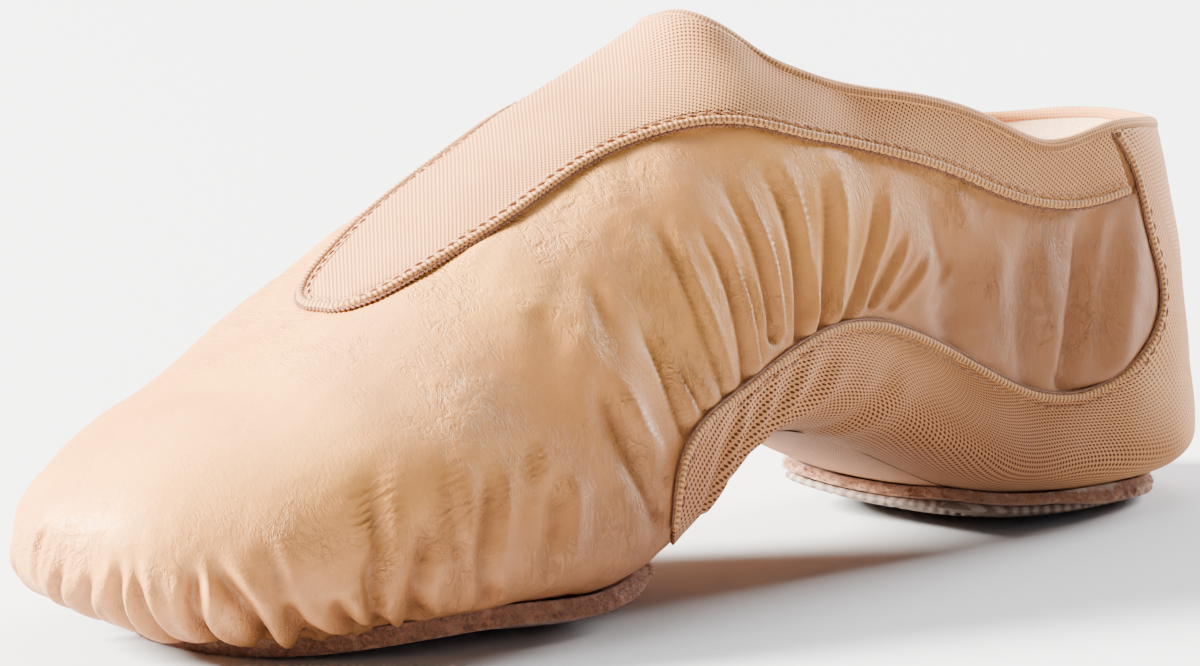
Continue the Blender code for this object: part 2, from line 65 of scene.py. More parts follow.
WALL = 1.2 * MM
OVERLAY = 0.8 * MM
GAP = 0.3 * MM
PAD_GAP = 0.4 * MM
OVERLAY_GAP = 0.65 * MM
INSOLE_GAP = 0.7 * MM
EDGE_WIDTH = 2.8 * MM
CORD_RADIUS = 0.85 * MM
RIM_RADIUS = 1.3 * MM
PAD_THICK = 3.3 * MM
HEEL_PAD_THICK = 1.9 * MM
TREAD_THICK = 1.3 * MM
TREAD_GAP = 0.2 * MM
TREAD_STEP = 2.5 * MM
TREAD_INSET = 0.7 * MM
TREAD_BACK = 0.10
TREAD_FRONT = 0.17
CHEVRON_WIDE = 6 * MM
RIDGE_PITCH = 2.6 * MM
GROOVE_DEEP = 0.55 * MM
INSOLE_THICK = 1.8 * MM
LINING_DEEP = 2.9 * MM
HIDDEN_SUEDE = 1.25 * MM
SEAM_STITCHES = 2.1 * MM
SHEET_LOW = 0.5 * MM
GLUE_STRETCH = 0.28
GLUE_SPOT = (GLUE_STRETCH * 86 * MM, -25 * MM, -6.5 * MM)
SUNK = 0.75 * MM
SEAM_GROOVE = 0.32 * MM
SEAM_GROOVE_WIDE = 1.3 * MM
WRINKLE_DEEP = 0.16 * MM
# How much painted shade the fine wrinkle lines get.
WRINKLE_SHADE = 0.10 * MM
LIP_WIDE = 0.6 * MM
LIP_PLACE = 0.75 * MM
LIP_HIGH = 0.42 * MM
EDGE_BULGE = 0.30 * MM

SIDE_POWER = 2.3
CROWN_POWER = 1.9
BELLY_POWER = 3.0
HEEL_FLAT = 3.0
FLAT_FRONT = 0.36
FLAT_BACK = 0.22
HEEL_POWER = 2.4
HEEL_SQUARE = 1.5
TOE_POWER = 2.8
LEAN_LIMIT = 1.2

CENTRE = np.array([0.51 * LENGTH, 0.0, 0.50 * INSTEP_HEIGHT])
FRAME_BACK = 0.7 * MM
FRAME_RIGHT = 1.15 * MM
FRAME_ORIGIN = np.array([0.5 * LENGTH - FRAME_BACK, -FRAME_RIGHT, 0.0])
PROBE = 0.02 * MM
SOLVE_STEPS = 34

Section = namedtuple("Section", "along swing left right wide top under lean")
SECTIONS = [
    Section(0.00, 0.0, 1.00 * HEEL, 1.00 * HEEL, 0.248 * INSTEP_HEIGHT, 1.20 * INSTEP_HEIGHT, HEEL_LIFT, 0.0),
    Section(0.12, 0.0, 1.03 * HEEL, 1.00 * HEEL, 0.248 * INSTEP_HEIGHT, 1.20 * INSTEP_HEIGHT, HEEL_LIFT, 0.0),
    Section(0.24, 0.0, 1.05 * HEEL, 0.97 * HEEL, 0.28 * INSTEP_HEIGHT, 1.12 * INSTEP_HEIGHT,
            HEEL_LIFT + 0.12 * ARCH_HEIGHT, 0.0),
    Section(0.36, 1 * MM, 1.06 * HEEL, 0.95 * HEEL, 0.355 * INSTEP_HEIGHT, 1.04 * INSTEP_HEIGHT,
            FORE_LIFT + 0.75 * ARCH_HEIGHT, -1.5 * MM),
    Section(0.46, 1 * MM, 1.14 * HEEL, 1.00 * HEEL, 0.387 * INSTEP_HEIGHT, 0.965 * INSTEP_HEIGHT,
            FORE_LIFT + 1.05 * ARCH_HEIGHT, -3 * MM),
    Section(0.54, 1 * MM, 0.82 * BALL, 0.80 * BALL, 0.323 * INSTEP_HEIGHT, 0.87 * INSTEP_HEIGHT,
            FORE_LIFT + 0.80 * ARCH_HEIGHT, -4 * MM),
    Section(0.62, 1 * MM, 0.90 * BALL, 0.92 * BALL, 0.226 * INSTEP_HEIGHT, 0.775 * INSTEP_HEIGHT,
            FORE_LIFT + 0.10 * ARCH_HEIGHT, -4 * MM),
    Section(0.74, -1 * MM, 0.96 * BALL, 1.00 * BALL, 0.194 * INSTEP_HEIGHT, 0.615 * INSTEP_HEIGHT,
            FORE_LIFT, -4 * MM),
    Section(0.86, -3 * MM, 0.87 * BALL, 0.88 * BALL, 0.183 * INSTEP_HEIGHT, 0.48 * INSTEP_HEIGHT,
            FORE_LIFT - 0.05 * ARCH_HEIGHT, -2 * MM),
    Section(1.00, -6 * MM, 0.78 * BALL, 0.80 * BALL, 0.215 * INSTEP_HEIGHT, 0.43 * INSTEP_HEIGHT,
            FORE_LIFT - 0.05 * ARCH_HEIGHT, 0.0),
]

Rim = namedtuple("Rim", "along out rise rise_inner")
COLLAR = [
    Rim(0.022, 0.00, 0.685, 0.685),
    Rim(0.032, 0.22, 0.685, 0.672),
    Rim(0.052, 0.38, 0.690, 0.660),
    Rim(0.085, 0.50, 0.700, 0.652),
    Rim(0.139, 0.59, 0.715, 0.655),
    Rim(0.210, 0.60, 0.705, 0.665),
    Rim(0.246, 0.58, 0.750, 0.695),
    Rim(0.299, 0.545, 0.810, 0.750),
    Rim(0.375, 0.48, 0.858, 0.815),
    Rim(0.417, 0.40, 0.888, 0.862),
    Rim(0.441, 0.26, 0.935, 0.920),
    Rim(0.456, 0.12, 0.982, 0.978),
    Rim(0.460, 0.00, 1.000, 1.000),
]

Seam = namedtuple("Seam", "along out rise rim")
GORE_SEAM = [
    Seam(0.130, 0.62, 0.598, 0),
    Seam(0.157, 0.635, 0.591, 0.06),
    Seam(0.205, 0.635, 0.596, 0.2),
    Seam(0.255, 0.63, 0.637, 0.33),
    Seam(0.300, 0.62, 0.695, 0.45),
    Seam(0.345, 0.61, 0.740, 0.55),
    Seam(0.390, 0.61, 0.785, 0.64),
    Seam(0.431, 0.59, 0.810, 0.72),
    Seam(0.469, 0.53, 0.830, 0.79),
    Seam(0.504, 0.46, 0.830, 0.85),
    Seam(0.540, 0.40, 0.815, 0.89),
    Seam(0.585, 0.35, 0.785, 0.92),
    Seam(0.640, 0.33, 0.725, 0.945),
    Seam(0.695, 0.30, 0.658, 0.965),
    Seam(0.735, 0.255, 0.610, 0.98),
    Seam(0.760, 0.185, 0.580, 0.99),
    Seam(0.772, 0.095, 0.570, 0.995),
    Seam(0.775, 0.00, 0.570, 1),
]

Edge = namedtuple("Edge", "along out rise foot")
QUARTER_EDGE = [
    Edge(0.630, 0.93, 0.170, 0.570),
    Edge(0.615, 0.90, 0.290, 0.540),
    Edge(0.545, 0.82, 0.390, 0.470),
    Edge(0.477, 0.77, 0.445, 0.415),
    Edge(0.415, 0.735, 0.463, 0.365),
    Edge(0.350, 0.71, 0.420, 0.310),
    Edge(0.280, 0.70, 0.330, 0.260),
    Edge(0.225, 0.69, 0.268, 0.215),
    Edge(0.165, 0.68, 0.262, 0.160),
    Edge(0.115, 0.675, 0.310, 0.110),
    Edge(0.091, 0.64, 0.400, 0.075),
    Edge(0.103, 0.632, 0.520, 0.058),
    Edge(0.115, 0.61, 0.625, 0.048),
    Edge(0.139, 0.59, 0.715, 0.040),
]
CORNER = [row.along for row in COLLAR].index(QUARTER_EDGE[-1].along)

Outline = namedtuple("Outline", "along left right")
FORE_PAD = [
    Outline(0.582, 0.00, 0.00),
    Outline(0.590, 0.38, 0.38),
    Outline(0.610, 0.62, 0.62),
    Outline(0.640, 0.78, 0.78),
    Outline(0.690, 0.86, 0.87),
    Outline(0.740, 0.86, 0.89),
    Outline(0.790, 0.82, 0.85),
    Outline(0.845, 0.71, 0.75),
    Outline(0.885, 0.50, 0.54),
    Outline(0.905, 0.27, 0.30),
    Outline(0.911, 0.00, 0.00),
]
HEEL_PAD = [
    Outline(0.020, 0.00, 0.00),
    Outline(0.027, 0.26, 0.26),
    Outline(0.050, 0.45, 0.45),
    Outline(0.095, 0.565, 0.555),
    Outline(0.150, 0.59, 0.57),
    Outline(0.205, 0.565, 0.545),
    Outline(0.245, 0.46, 0.44),
    Outline(0.265, 0.26, 0.25),
    Outline(0.270, 0.00, 0.00),
]
INSOLE = [
    Outline(0.050, 0.00, 0.00),
    Outline(0.060, 0.24, 0.24),
    Outline(0.095, 0.42, 0.42),
    Outline(0.170, 0.50, 0.49),
    Outline(0.300, 0.48, 0.45),
    Outline(0.430, 0.54, 0.48),
    Outline(0.540, 0.66, 0.62),
    Outline(0.640, 0.74, 0.75),
    Outline(0.740, 0.75, 0.78),
    Outline(0.830, 0.66, 0.70),
    Outline(0.890, 0.46, 0.52),
    Outline(0.925, 0.22, 0.26),
    Outline(0.932, 0.00, 0.00),
]

UNDER_BACK = 0.065
UNDER_FRONT = 0.835
UNDER_SHARE = 0.56
UNDER_POWER = 0.75
BRIDGE_BACK = 0.225
BRIDGE_FRONT = 0.605
PANEL_BRIDGE_BACK = 0.24
PANEL_FOOT_SHARE = 0.60
TOE_CROWD = 1.3

Fold = namedtuple("Fold", "start middle end width depth last")
QUARTER_FOLDS = [
    Fold((0.513, 0.760), (0.503, 0.630), (0.507, 0.470), 1.4, 1.25, 1.0),
    Fold((0.479, 0.780), (0.465, 0.655), (0.477, 0.460), 1.6, 1.5, 1.0),
    Fold((0.425, 0.750), (0.428, 0.640), (0.452, 0.470), 1.5, 1.3, 1.0),
    Fold((0.376, 0.700), (0.389, 0.610), (0.428, 0.470), 1.2, 1.05, 1.0),
    Fold((0.547, 0.690), (0.537, 0.590), (0.536, 0.400), 1.4, 1.2, 1.0),
    Fold((0.572, 0.700), (0.573, 0.600), (0.560, 0.385), 1.2, 0.9, 1.0),
    Fold((0.530, 0.640), (0.521, 0.550), (0.522, 0.430), 0.9, 0.5, 0.9),
    Fold((0.497, 0.720), (0.487, 0.600), (0.492, 0.460), 0.9, 0.45, 0.9),
    Fold((0.450, 0.760), (0.449, 0.650), (0.466, 0.500), 0.9, 0.4, 0.8),
    Fold((0.620, 0.550), (0.611, 0.457), (0.600, 0.320), 1.3, 1.1, 1.0),
    Fold((0.603, 0.480), (0.590, 0.416), (0.577, 0.350), 1.0, 0.8, 0.8),
    Fold((0.360, 0.610), (0.374, 0.560), (0.400, 0.490), 0.9, 0.75, 0.9),
    Fold((0.330, 0.590), (0.349, 0.540), (0.380, 0.480), 0.9, 0.65, 0.9),
    Fold((0.306, 0.550), (0.318, 0.510), (0.338, 0.470), 0.9, 0.4, 0.7),
    Fold((0.322, 0.690), (0.318, 0.600), (0.314, 0.500), 3.4, 0.9, 0.0),
    Fold((0.299, 0.650), (0.308, 0.500), (0.317, 0.360), 5.0, 1.7, 0.6),
    Fold((0.170, 0.620), (0.180, 0.470), (0.200, 0.290), 2.6, 1.8, 0.8),
    Fold((0.150, 0.590), (0.165, 0.420), (0.185, 0.280), 4.5, 1.3, 1.0),
    Fold((0.236, 0.600), (0.240, 0.450), (0.236, 0.290), 3.4, 0.8, 1.0),
]
Pleat = namedtuple("Pleat", "width depth last line")
PLEATS = [
    Pleat(0.9, 0.6, 0.6, ((0.99, -0.10, 0.26), (1.00, -0.14, 0.21), (0.99, -0.18, 0.14))),
    Pleat(1.1, 1.0, 1.0, ((1.00, 0.03, 0.23), (1.00, -0.04, 0.15), (0.99, -0.10, 0.11), (0.95, -0.12, 0.05))),
    Pleat(1.2, 1.1, 1.2, ((1.00, 0.15, 0.21), (0.99, 0.10, 0.15), (0.98, 0.02, 0.10), (0.94, 0.00, 0.045))),
    Pleat(1.3, 1.4, 1.3, ((0.99, 0.25, 0.23), (0.99, 0.25, 0.17), (0.98, 0.18, 0.10), (0.93, 0.10, 0.045))),
    Pleat(1.3, 1.4, 1.3, ((0.99, 0.31, 0.24), (0.985, 0.31, 0.16), (0.97, 0.28, 0.10), (0.92, 0.20, 0.045))),
    Pleat(1.5, 1.9, 1.3, ((0.97, 0.46, 0.21), (0.97, 0.49, 0.17), (0.96, 0.45, 0.12), (0.91, 0.33, 0.045))),
    Pleat(1.6, 2.1, 1.3, ((0.96, 0.51, 0.22), (0.95, 0.56, 0.17), (0.93, 0.57, 0.11), (0.90, 0.46, 0.05))),
    Pleat(1.4, 1.2, 1.4, ((0.93, 0.60, 0.26), (0.93, 0.66, 0.20), (0.92, 0.66, 0.12), (0.885, 0.55, 0.05))),
    Pleat(1.6, 2.1, 1.2, ((0.915, 0.71, 0.16), (0.91, 0.66, 0.11), (0.895, 0.64, 0.08), (0.87, 0.60, 0.05))),
    Pleat(1.5, 1.8, 1.2, ((0.89, 0.75, 0.15), (0.885, 0.73, 0.11), (0.865, 0.68, 0.06))),
    Pleat(1.6, 1.7, 0.8, ((0.85, 0.68, 0.37), (0.86, 0.77, 0.28), (0.865, 0.81, 0.22), (0.865, 0.80, 0.12))),
    Pleat(1.4, 1.5, 1.2, ((0.87, 0.78, 0.23), (0.872, 0.80, 0.17), (0.865, 0.77, 0.10), (0.85, 0.70, 0.06))),
    Pleat(1.7, 1.7, 1.0, ((0.83, 0.83, 0.28), (0.83, 0.86, 0.23), (0.84, 0.86, 0.16), (0.835, 0.80, 0.08))),
    Pleat(1.5, 0.8, 0.8, ((0.81, 0.86, 0.29), (0.812, 0.90, 0.20), (0.81, 0.88, 0.12))),
    Pleat(1.9, 1.4, 0.8, ((0.77, 0.84, 0.37), (0.78, 0.90, 0.29), (0.795, 0.92, 0.18), (0.79, 0.90, 0.11))),
    Pleat(2.4, 1.5, 0.6, ((0.73, 0.92, 0.32), (0.73, 0.95, 0.25), (0.74, 0.95, 0.15))),
    Pleat(1.6, 0.5, 0.3, ((0.80, 0.76, 0.38), (0.81, 0.86, 0.29), (0.81, 0.90, 0.21))),
    Pleat(1.3, 0.5, 0.3, ((0.74, 0.87, 0.38), (0.74, 0.90, 0.34), (0.74, 0.92, 0.29))),
    Pleat(2.2, 1.7, 0.5, ((0.67, 0.81, 0.46), (0.66, 0.88, 0.36), (0.64, 0.91, 0.22))),
    Pleat(1.2, 0.7, 0.8, ((0.65, 0.88, 0.36), (0.64, 0.89, 0.32), (0.63, 0.90, 0.27))),
    Pleat(1.6, -0.7, 0.2, ((0.65, 0.58, 0.63), (0.655, 0.70, 0.56), (0.66, 0.78, 0.49))),
    Pleat(3.2, 0.8, 0.2, ((0.69, 0.61, 0.58), (0.69, 0.70, 0.54), (0.69, 0.79, 0.47))),
    Pleat(1.6, 1.5, 1.3, ((0.985, -0.40, 0.190), (0.965, -0.42, 0.100), (0.915, -0.33, 0.045))),
    Pleat(1.7, 1.7, 1.3, ((0.966, -0.52, 0.200), (0.940, -0.55, 0.100), (0.895, -0.46, 0.045))),
    Pleat(1.5, 1.3, 1.3, ((0.950, -0.59, 0.150), (0.930, -0.60, 0.090), (0.885, -0.52, 0.045))),
    Pleat(1.7, 1.8, 1.3, ((0.930, -0.65, 0.190), (0.905, -0.66, 0.090), (0.870, -0.58, 0.045))),
    Pleat(1.7, 1.5, 1.2, ((0.908, -0.70, 0.240), (0.885, -0.72, 0.110), (0.855, -0.66, 0.050))),
    Pleat(1.8, 1.5, 1.2, ((0.880, -0.74, 0.260), (0.862, -0.78, 0.130), (0.835, -0.74, 0.060))),
    Pleat(1.8, 1.1, 1.1, ((0.842, -0.80, 0.300), (0.835, -0.84, 0.150), (0.810, -0.81, 0.070))),
    Pleat(2.0, 1.3, 0.8, ((0.780, -0.84, 0.330), (0.785, -0.90, 0.220), (0.790, -0.90, 0.110))),
    Pleat(2.2, 1.2, 0.6, ((0.700, -0.88, 0.380), (0.690, -0.95, 0.280), (0.680, -0.97, 0.150))),
]
PANEL_FOLDS = [
    Fold((0.520, 0.405), (0.560, 0.320), (0.590, 0.190), 1.5, 1.3, 0.9),
    Fold((0.492, 0.425), (0.535, 0.330), (0.570, 0.200), 1.7, 1.5, 0.9),
    Fold((0.462, 0.440), (0.505, 0.350), (0.548, 0.235), 1.8, 1.3, 0.8),
    Fold((0.430, 0.440), (0.462, 0.370), (0.500, 0.300), 2.0, 0.9, 0.6),
    Fold((0.360, 0.405), (0.390, 0.330), (0.420, 0.270), 3.0, 0.8, 0.4),
]
Dent = namedtuple("Dent", "along out rise reach depth")
DENTS = [
    Dent(0.515, 0.00, 0.905, 11, 1.3),
    Dent(0.452, 0.08, 0.985, 8, -3.8),
    Dent(0.425, 0.30, 0.910, 8, 2.6),
    Dent(0.375, 0.46, 0.850, 10, 2.2),
    Dent(0.775, -0.15, 0.530, 22, 2.1),
    Dent(0.640, 0.50, 0.620, 16, 1.2),
    Dent(0.700, 0.70, 0.440, 14, 0.9),
    Dent(0.760, -0.50, 0.450, 15, 0.8),
    Dent(0.560, 0.70, 0.600, 13, -0.9),
    Dent(0.790, 0.62, 0.380, 12, -1.0),
    Dent(0.860, 0.30, 0.400, 20, -0.8),
    Dent(0.360, 0.68, 0.600, 13, -0.8),
    Dent(0.240, 0.68, 0.440, 11, -0.7),
]

CLOTH_HIGH = 0.2 * MM
SEED = 11
GUIDE_STEPS = 1200
LEATHER_COLUMNS = 700
COLUMN_EVEN = 0.55
SIDE_ROWS = 88
BELLY_ROWS = 46
BRIDGE_ROWS = 10
LINING_COLUMNS = 240
LINING_ROWS = 30
LINING_BELLY_ROWS = 14
INSOLE_COLUMNS = 240
INSOLE_RINGS = 26
GORE_COLUMNS = 400
GORE_ROWS = 44
HEM_COLUMNS = 900
HEM_ROWS = 14
PANEL_SIDE = 260
PANEL_BACK = 90
PANEL_ROWS = 70
PANEL_BRIDGE_ROWS = 40
EDGE_COLUMNS = 400
RIM_COLUMNS = 700
RIM_SIDES = 14
PAD_COLUMNS = 420
FORE_RINGS = 30
HEEL_RINGS = 20
TREAD_COLUMNS = 440
TREAD_RINGS = 84
PAD_WALL_ROWS = 11
PAD_TOP_ROWS = 6
FORE_FIBRES = 5200
HEEL_FIBRES = 2600
CREASE_POINTS = 30
STRAND_STEP = 0.24 * MM
LOOP_STEP = 0.17 * MM
STITCH_POINTS = 7

TINT = (1.0, 0.86, 0.62, 1.0)
# Where the painted shade on the leather near the ground begins and ends, and how it slopes towards the heel.
LOW_SHADE_FROM = 22 * MM
LOW_SHADE_TO = 70 * MM
LOW_SHADE_SLOPE = 0.3
TOE_TIP = (66 * MM, 92 * MM)
TOE_TOP = (20 * MM, 32 * MM)
HEEL_FADE = (-112 * MM, -82 * MM)
# Reach of the painted shade on the mesh under the arch, along the shoe and up.
ARCH_SHADE_FADE = (-100 * MM, -60 * MM)
ARCH_SHADE_LOW = (12 * MM, 46 * MM)
LENS = 361.8
SENSOR = 36
FAR_CLIP = 50
FLOOR_REACH = 9.0
AIM_ALONG = 0.118
AIM_HIGH = 0.045
AIM_RIGHT = -0.00813
AIM_UP = -0.00564
WORLD_LIGHT = 0.09
Lamp = namedtuple("Lamp", "name back right rise wide power tone")
LAMPS = [
    Lamp("key", 0.02, -2.35, 1.3, 0.8, 1150, (1.0, 0.965, 0.865)),
    Lamp("fill", 1.4, 1.3, 0.5, 1.4, 4, (0.97, 0.985, 1.0)),
    Lamp("top", -0.9, 0.0, 2.0, 1.8, 70, (1.0, 1.0, 1.0)),
    Lamp("rear", -1.5, 1.3, 1.0, 0.8, 150, (1.0, 0.99, 0.97)),
]


def spline(knots, values):
    """A natural cubic through the values at the knots, as a function."""
    knots = np.asarray(knots, float)
    values = np.asarray(values, float)
    last = len(knots) - 1
    gaps = np.diff(knots)
    matrix = np.eye(len(knots))
    right = np.zeros(values.shape)
    for i in range(1, last):
        matrix[i, i - 1:i + 2] = gaps[i - 1], 2 * (gaps[i - 1] + gaps[i]), gaps[i]
        right[i] = 6 * ((values[i + 1] - values[i]) / gaps[i] - (values[i] - values[i - 1]) / gaps[i - 1])
    bend = np.linalg.solve(matrix, right)

    def at(where):
        where = np.clip(where, knots[0], knots[-1])
        i = np.clip(np.searchsorted(knots, where) - 1, 0, last - 1)
        t = where - knots[i]
        gap = gaps[i]
        if values.ndim > 1:
            t = t[..., None]
            gap = gap[..., None]
        slope = (values[i + 1] - values[i]) / gap - gap * (2 * bend[i] + bend[i + 1]) / 6
        return values[i] + slope * t + bend[i] / 2 * t ** 2 + (bend[i + 1] - bend[i]) / (6 * gap) * t ** 3

    return at


ALONG = [section.along for section in SECTIONS]
SWING, LEFT, RIGHT, WIDE, TOP, UNDER, LEAN = [
    spline(ALONG, [section[k] for section in SECTIONS]) for k in range(1, len(Section._fields))]


def belly_power(share):
    """How boxy the underside is: flatter beneath the heel."""
    flat = np.clip((FLAT_FRONT - share) / (FLAT_FRONT - FLAT_BACK), 0, 1)
    return BELLY_POWER + HEEL_FLAT * flat * flat * (3 - 2 * flat)


def form(points):
    """Below zero inside the last, above zero outside it."""
    x, y, z = points[..., 0], points[..., 1], points[..., 2]
    share = x / LENGTH
    wide = WIDE(share)
    above = z > wide
    crown = (z - wide) / (TOP(share) - wide)
    belly = (wide - z) / (wide - UNDER(share))
    centre = SWING(share) + LEAN(share) * np.clip(crown, 0, LEAN_LIMIT)
    half = np.where(y > centre, LEFT(share), RIGHT(share))
    height = np.where(above, np.abs(crown) ** CROWN_POWER, np.abs(belly) ** belly_power(share))
    leaning = x - HEEL_LEAN * np.maximum(z - wide, 0) / INSTEP_HEIGHT
    square = HEEL_POWER + HEEL_SQUARE * np.clip(belly, 0, 1)
    heel = np.maximum(1 - leaning / HEEL_ROUND, 0) ** square
    toe = np.maximum(1 - (LENGTH - x) / TOE_ROUND, 0) ** TOE_POWER
    return (np.abs(y - centre) / half) ** SIDE_POWER + height + heel + toe - 1


def toward(points):
    """The spots where rays from the centre through the points leave the last."""
    ray = points - CENTRE
    ray = ray / np.linalg.norm(ray, axis=-1, keepdims=True)
    near = np.zeros(ray.shape[:-1])
    far = np.full(ray.shape[:-1], LENGTH)
    for _ in range(SOLVE_STEPS):
        middle = (near + far) / 2
        inside = form(CENTRE + ray * middle[..., None]) < 0
        near = np.where(inside, middle, near)
        far = np.where(inside, far, middle)
    return CENTRE + ray * near[..., None]


def outward(points):
    """Unit normals of the last at the points."""
    slopes = [form(points + step) - form(points - step) for step in np.eye(3) * PROBE]
    normals = np.stack(slopes, -1)
    return normals / np.linalg.norm(normals, axis=-1, keepdims=True)


def between(start, end, shares):
    """Rows of spots on the last between two guides, at each share of the way, seen from the centre."""
    shares = np.asarray(shares, float)
    while shares.ndim < start.ndim + 1:
        shares = shares[..., None]
    a = start - CENTRE
    b = end - CENTRE
    a = a / np.linalg.norm(a, axis=-1, keepdims=True)
    b = b / np.linalg.norm(b, axis=-1, keepdims=True)
    turn = np.arccos(np.clip((a * b).sum(-1, keepdims=True), -1, 1))
    return toward(CENTRE + (np.sin((1 - shares) * turn) * a + np.sin(shares * turn) * b) / np.sin(turn))


def lengths(curve):
    """Distance along a curve at each of its points."""
    return np.concatenate([[0], np.cumsum(np.linalg.norm(np.diff(curve, axis=0), axis=1))])


def even(points, count, closed=False):
    """A curve through the points in count evenly spaced spots."""
    points = np.asarray(points, float)
    if closed:
        points = np.concatenate([points, points[:1]])
    length = lengths(points)
    curve = spline(length, points)
    return curve(np.linspace(0, length[-1], count, endpoint=not closed))


def spot(along, out, rise, side=1):
    """A point from shares of the shoe's length, ball and instep, beside the ridge of the last."""
    share = np.asarray(along, float)
    crown = (np.asarray(rise) * INSTEP_HEIGHT - WIDE(share)) / (TOP(share) - WIDE(share))
    axis = SWING(share) + LEAN(share) * np.clip(crown, 0, 1)
    return np.stack([share * LENGTH, axis + side * np.asarray(out) * BALL,
                     np.asarray(rise) * INSTEP_HEIGHT], -1)


def flank(along, rise, side):
    """The point of one side of the last at a share of the length and of the instep."""
    share = np.asarray(along, float)
    z = np.asarray(rise, float) * INSTEP_HEIGHT
    wide = WIDE(share)
    crown = (z - wide) / (TOP(share) - wide)
    belly = (wide - z) / (wide - UNDER(share))
    height = np.where(z > wide, np.abs(crown) ** CROWN_POWER, np.abs(belly) ** belly_power(share))
    centre = SWING(share) + LEAN(share) * np.clip(crown, 0, LEAN_LIMIT)
    half = LEFT(share) if side > 0 else RIGHT(share)
    toe = np.maximum(1 - (LENGTH - share * LENGTH) / TOE_ROUND, 0) ** TOE_POWER
    left = np.maximum(1 - height - toe, 0) ** (1 / SIDE_POWER)
    return toward(np.stack([share * LENGTH, centre + side * half * left, z], -1))


def rim_side(side):
    """One side of the collar, back to front."""
    return np.array([spot(row.along, row.out, row.rise if side > 0 else row.rise_inner, side)
                     for row in COLLAR])


def collar(count):
    """The collar as a closed loop from the back over the left side and the front."""
    half = count // 2
    left = even(toward(rim_side(1)), half + 1)
    right = even(toward(rim_side(-1)), half + 1)
    return toward(np.concatenate([left[:-1], right[:0:-1]]))


def turned(count):
    """Angles from the back over the left side, with their shares along the shoe."""
    angle = np.linspace(0, 2 * np.pi, count, endpoint=False)
    return angle, 0.5 - 0.5 * np.cos(angle)


def wide_loop(count):
    """The widest line of the last."""
    angle, share = turned(count)
    half = np.where(np.sin(angle) > 0, LEFT(share), RIGHT(share))
    return np.stack([share * LENGTH, SWING(share) + half * np.sin(angle), WIDE(share)], -1)


def under_loop(count):
    """The edge where the leather ends beneath the foot."""
    angle, share = turned(count)
    share = UNDER_BACK + (UNDER_FRONT - UNDER_BACK) * share
    half = UNDER_SHARE * np.where(np.sin(angle) > 0, LEFT(share), RIGHT(share))
    across = np.sign(np.sin(angle)) * np.abs(np.sin(angle)) ** UNDER_POWER
    return np.stack([share * LENGTH, SWING(share) + half * across, UNDER(share)], -1)


def guides(count):
    """Collar, widest line and lower edge in count columns, closer together away from the heel."""
    rings = [collar(GUIDE_STEPS), wide_loop(GUIDE_STEPS), under_loop(GUIDE_STEPS)]
    steps = np.linalg.norm(np.roll(rings[1], -1, 0) - rings[1], axis=1)
    share = turned(GUIDE_STEPS)[1]
    steps = (steps + steps[::-1]) * (0.35 + 0.65 * smooth(0.06, 0.2, share) + 0.5 * smooth(0.34, 0.5, share))
    crowd = COLUMN_EVEN * steps / steps.sum() + (1 - COLUMN_EVEN) / GUIDE_STEPS
    where = np.concatenate([[0], np.cumsum(crowd)])
    places = np.interp(np.arange(count) / count, where, np.arange(GUIDE_STEPS + 1))
    share = np.interp(places, np.arange(GUIDE_STEPS + 1), np.append(turned(GUIDE_STEPS)[1], 0))
    spots = [np.stack([np.interp(places, np.arange(GUIDE_STEPS + 1), np.append(ring[:, k], ring[0, k]))
                       for k in range(3)], -1) for ring in rings]
    return spots, share


def quads(rows, columns, closed=False):
    """Quads of a grid whose rows run one after another."""
    i, j = np.meshgrid(np.arange(rows - 1), np.arange(columns if closed else columns - 1), indexing="ij")
    k = (j + 1) % columns
    faces = np.stack([i * columns + j, i * columns + k, (i + 1) * columns + k, (i + 1) * columns + j], -1)
    return faces.reshape(-1, 4)


def quarter_edge(side, count):
    """The lower and rear edge of the quarter, from the forefoot to the collar, with its foot line."""
    tops = np.array([spot(row.along, row.out, row.rise, side) for row in QUARTER_EDGE])
    tops[-1] = toward(rim_side(side))[CORNER]
    tops = toward(tops)
    foot = np.array([row.foot for row in QUARTER_EDGE])
    steps = lengths(tops)
    share = spline(steps, foot)(np.linspace(0, steps[-1], count))
    half = PANEL_FOOT_SHARE * (LEFT(share) if side > 0 else RIGHT(share))
    feet = np.stack([share * LENGTH, SWING(share) + side * half, UNDER(share)], -1)
    return toward(even(tops, count)), feet


def gore_curves(count):
    """The throat seam and its places on the collar, left back to right back round the front."""
    sides = []
    for side in (1, -1):
        tops = toward(np.array([spot(row.along, row.out, row.rise, side) for row in GORE_SEAM]))
        steps = lengths(tops)
        where = np.linspace(0, steps[-1], count // 2 + 1)
        share = np.interp(where, steps, [row.rim for row in GORE_SEAM])
        rim = even(toward(rim_side(side)[CORNER:]), GUIDE_STEPS)
        clear = CORD_RADIUS / lengths(rim)[-1]
        places = (clear + (1 - clear) * share) * (len(rim) - 1)
        line = np.stack([np.interp(places, np.arange(len(rim)), rim[:, k]) for k in range(3)], -1)
        sides.append((toward(spline(steps, tops)(where)), toward(line)))
    (left, left_rim), (right, right_rim) = sides
    return np.concatenate([left, right[-2::-1]]), np.concatenate([left_rim, right_rim[-2::-1]])


def beside(curve, distance):
    """A curve shifted across its own run, on the last."""
    ahead = np.gradient(curve, axis=0)
    across = np.cross(outward(curve), ahead)
    return toward(curve + across / np.linalg.norm(across, axis=1, keepdims=True) * distance)


def outline(table, steps, shrink=0.0):
    """A table's outline under the last as an evenly stepped closed loop."""
    share = np.array([row.along for row in table])
    left = np.stack([share * LENGTH, SWING(share) + np.array([row.left for row in table]) * BALL,
                     UNDER(share)], -1)
    right = np.stack([share * LENGTH, SWING(share) - np.array([row.right for row in table]) * BALL,
                      UNDER(share)], -1)
    loop = even(np.concatenate([left[:-1], right[:0:-1]]), steps, closed=True)
    middle = loop.mean(0)
    reach = np.linalg.norm((loop - middle)[:, :2], axis=1, keepdims=True)
    if callable(shrink):
        shrink = shrink(loop[:, :1] / LENGTH)
    return middle, middle + (loop - middle) * (1 - shrink / reach)


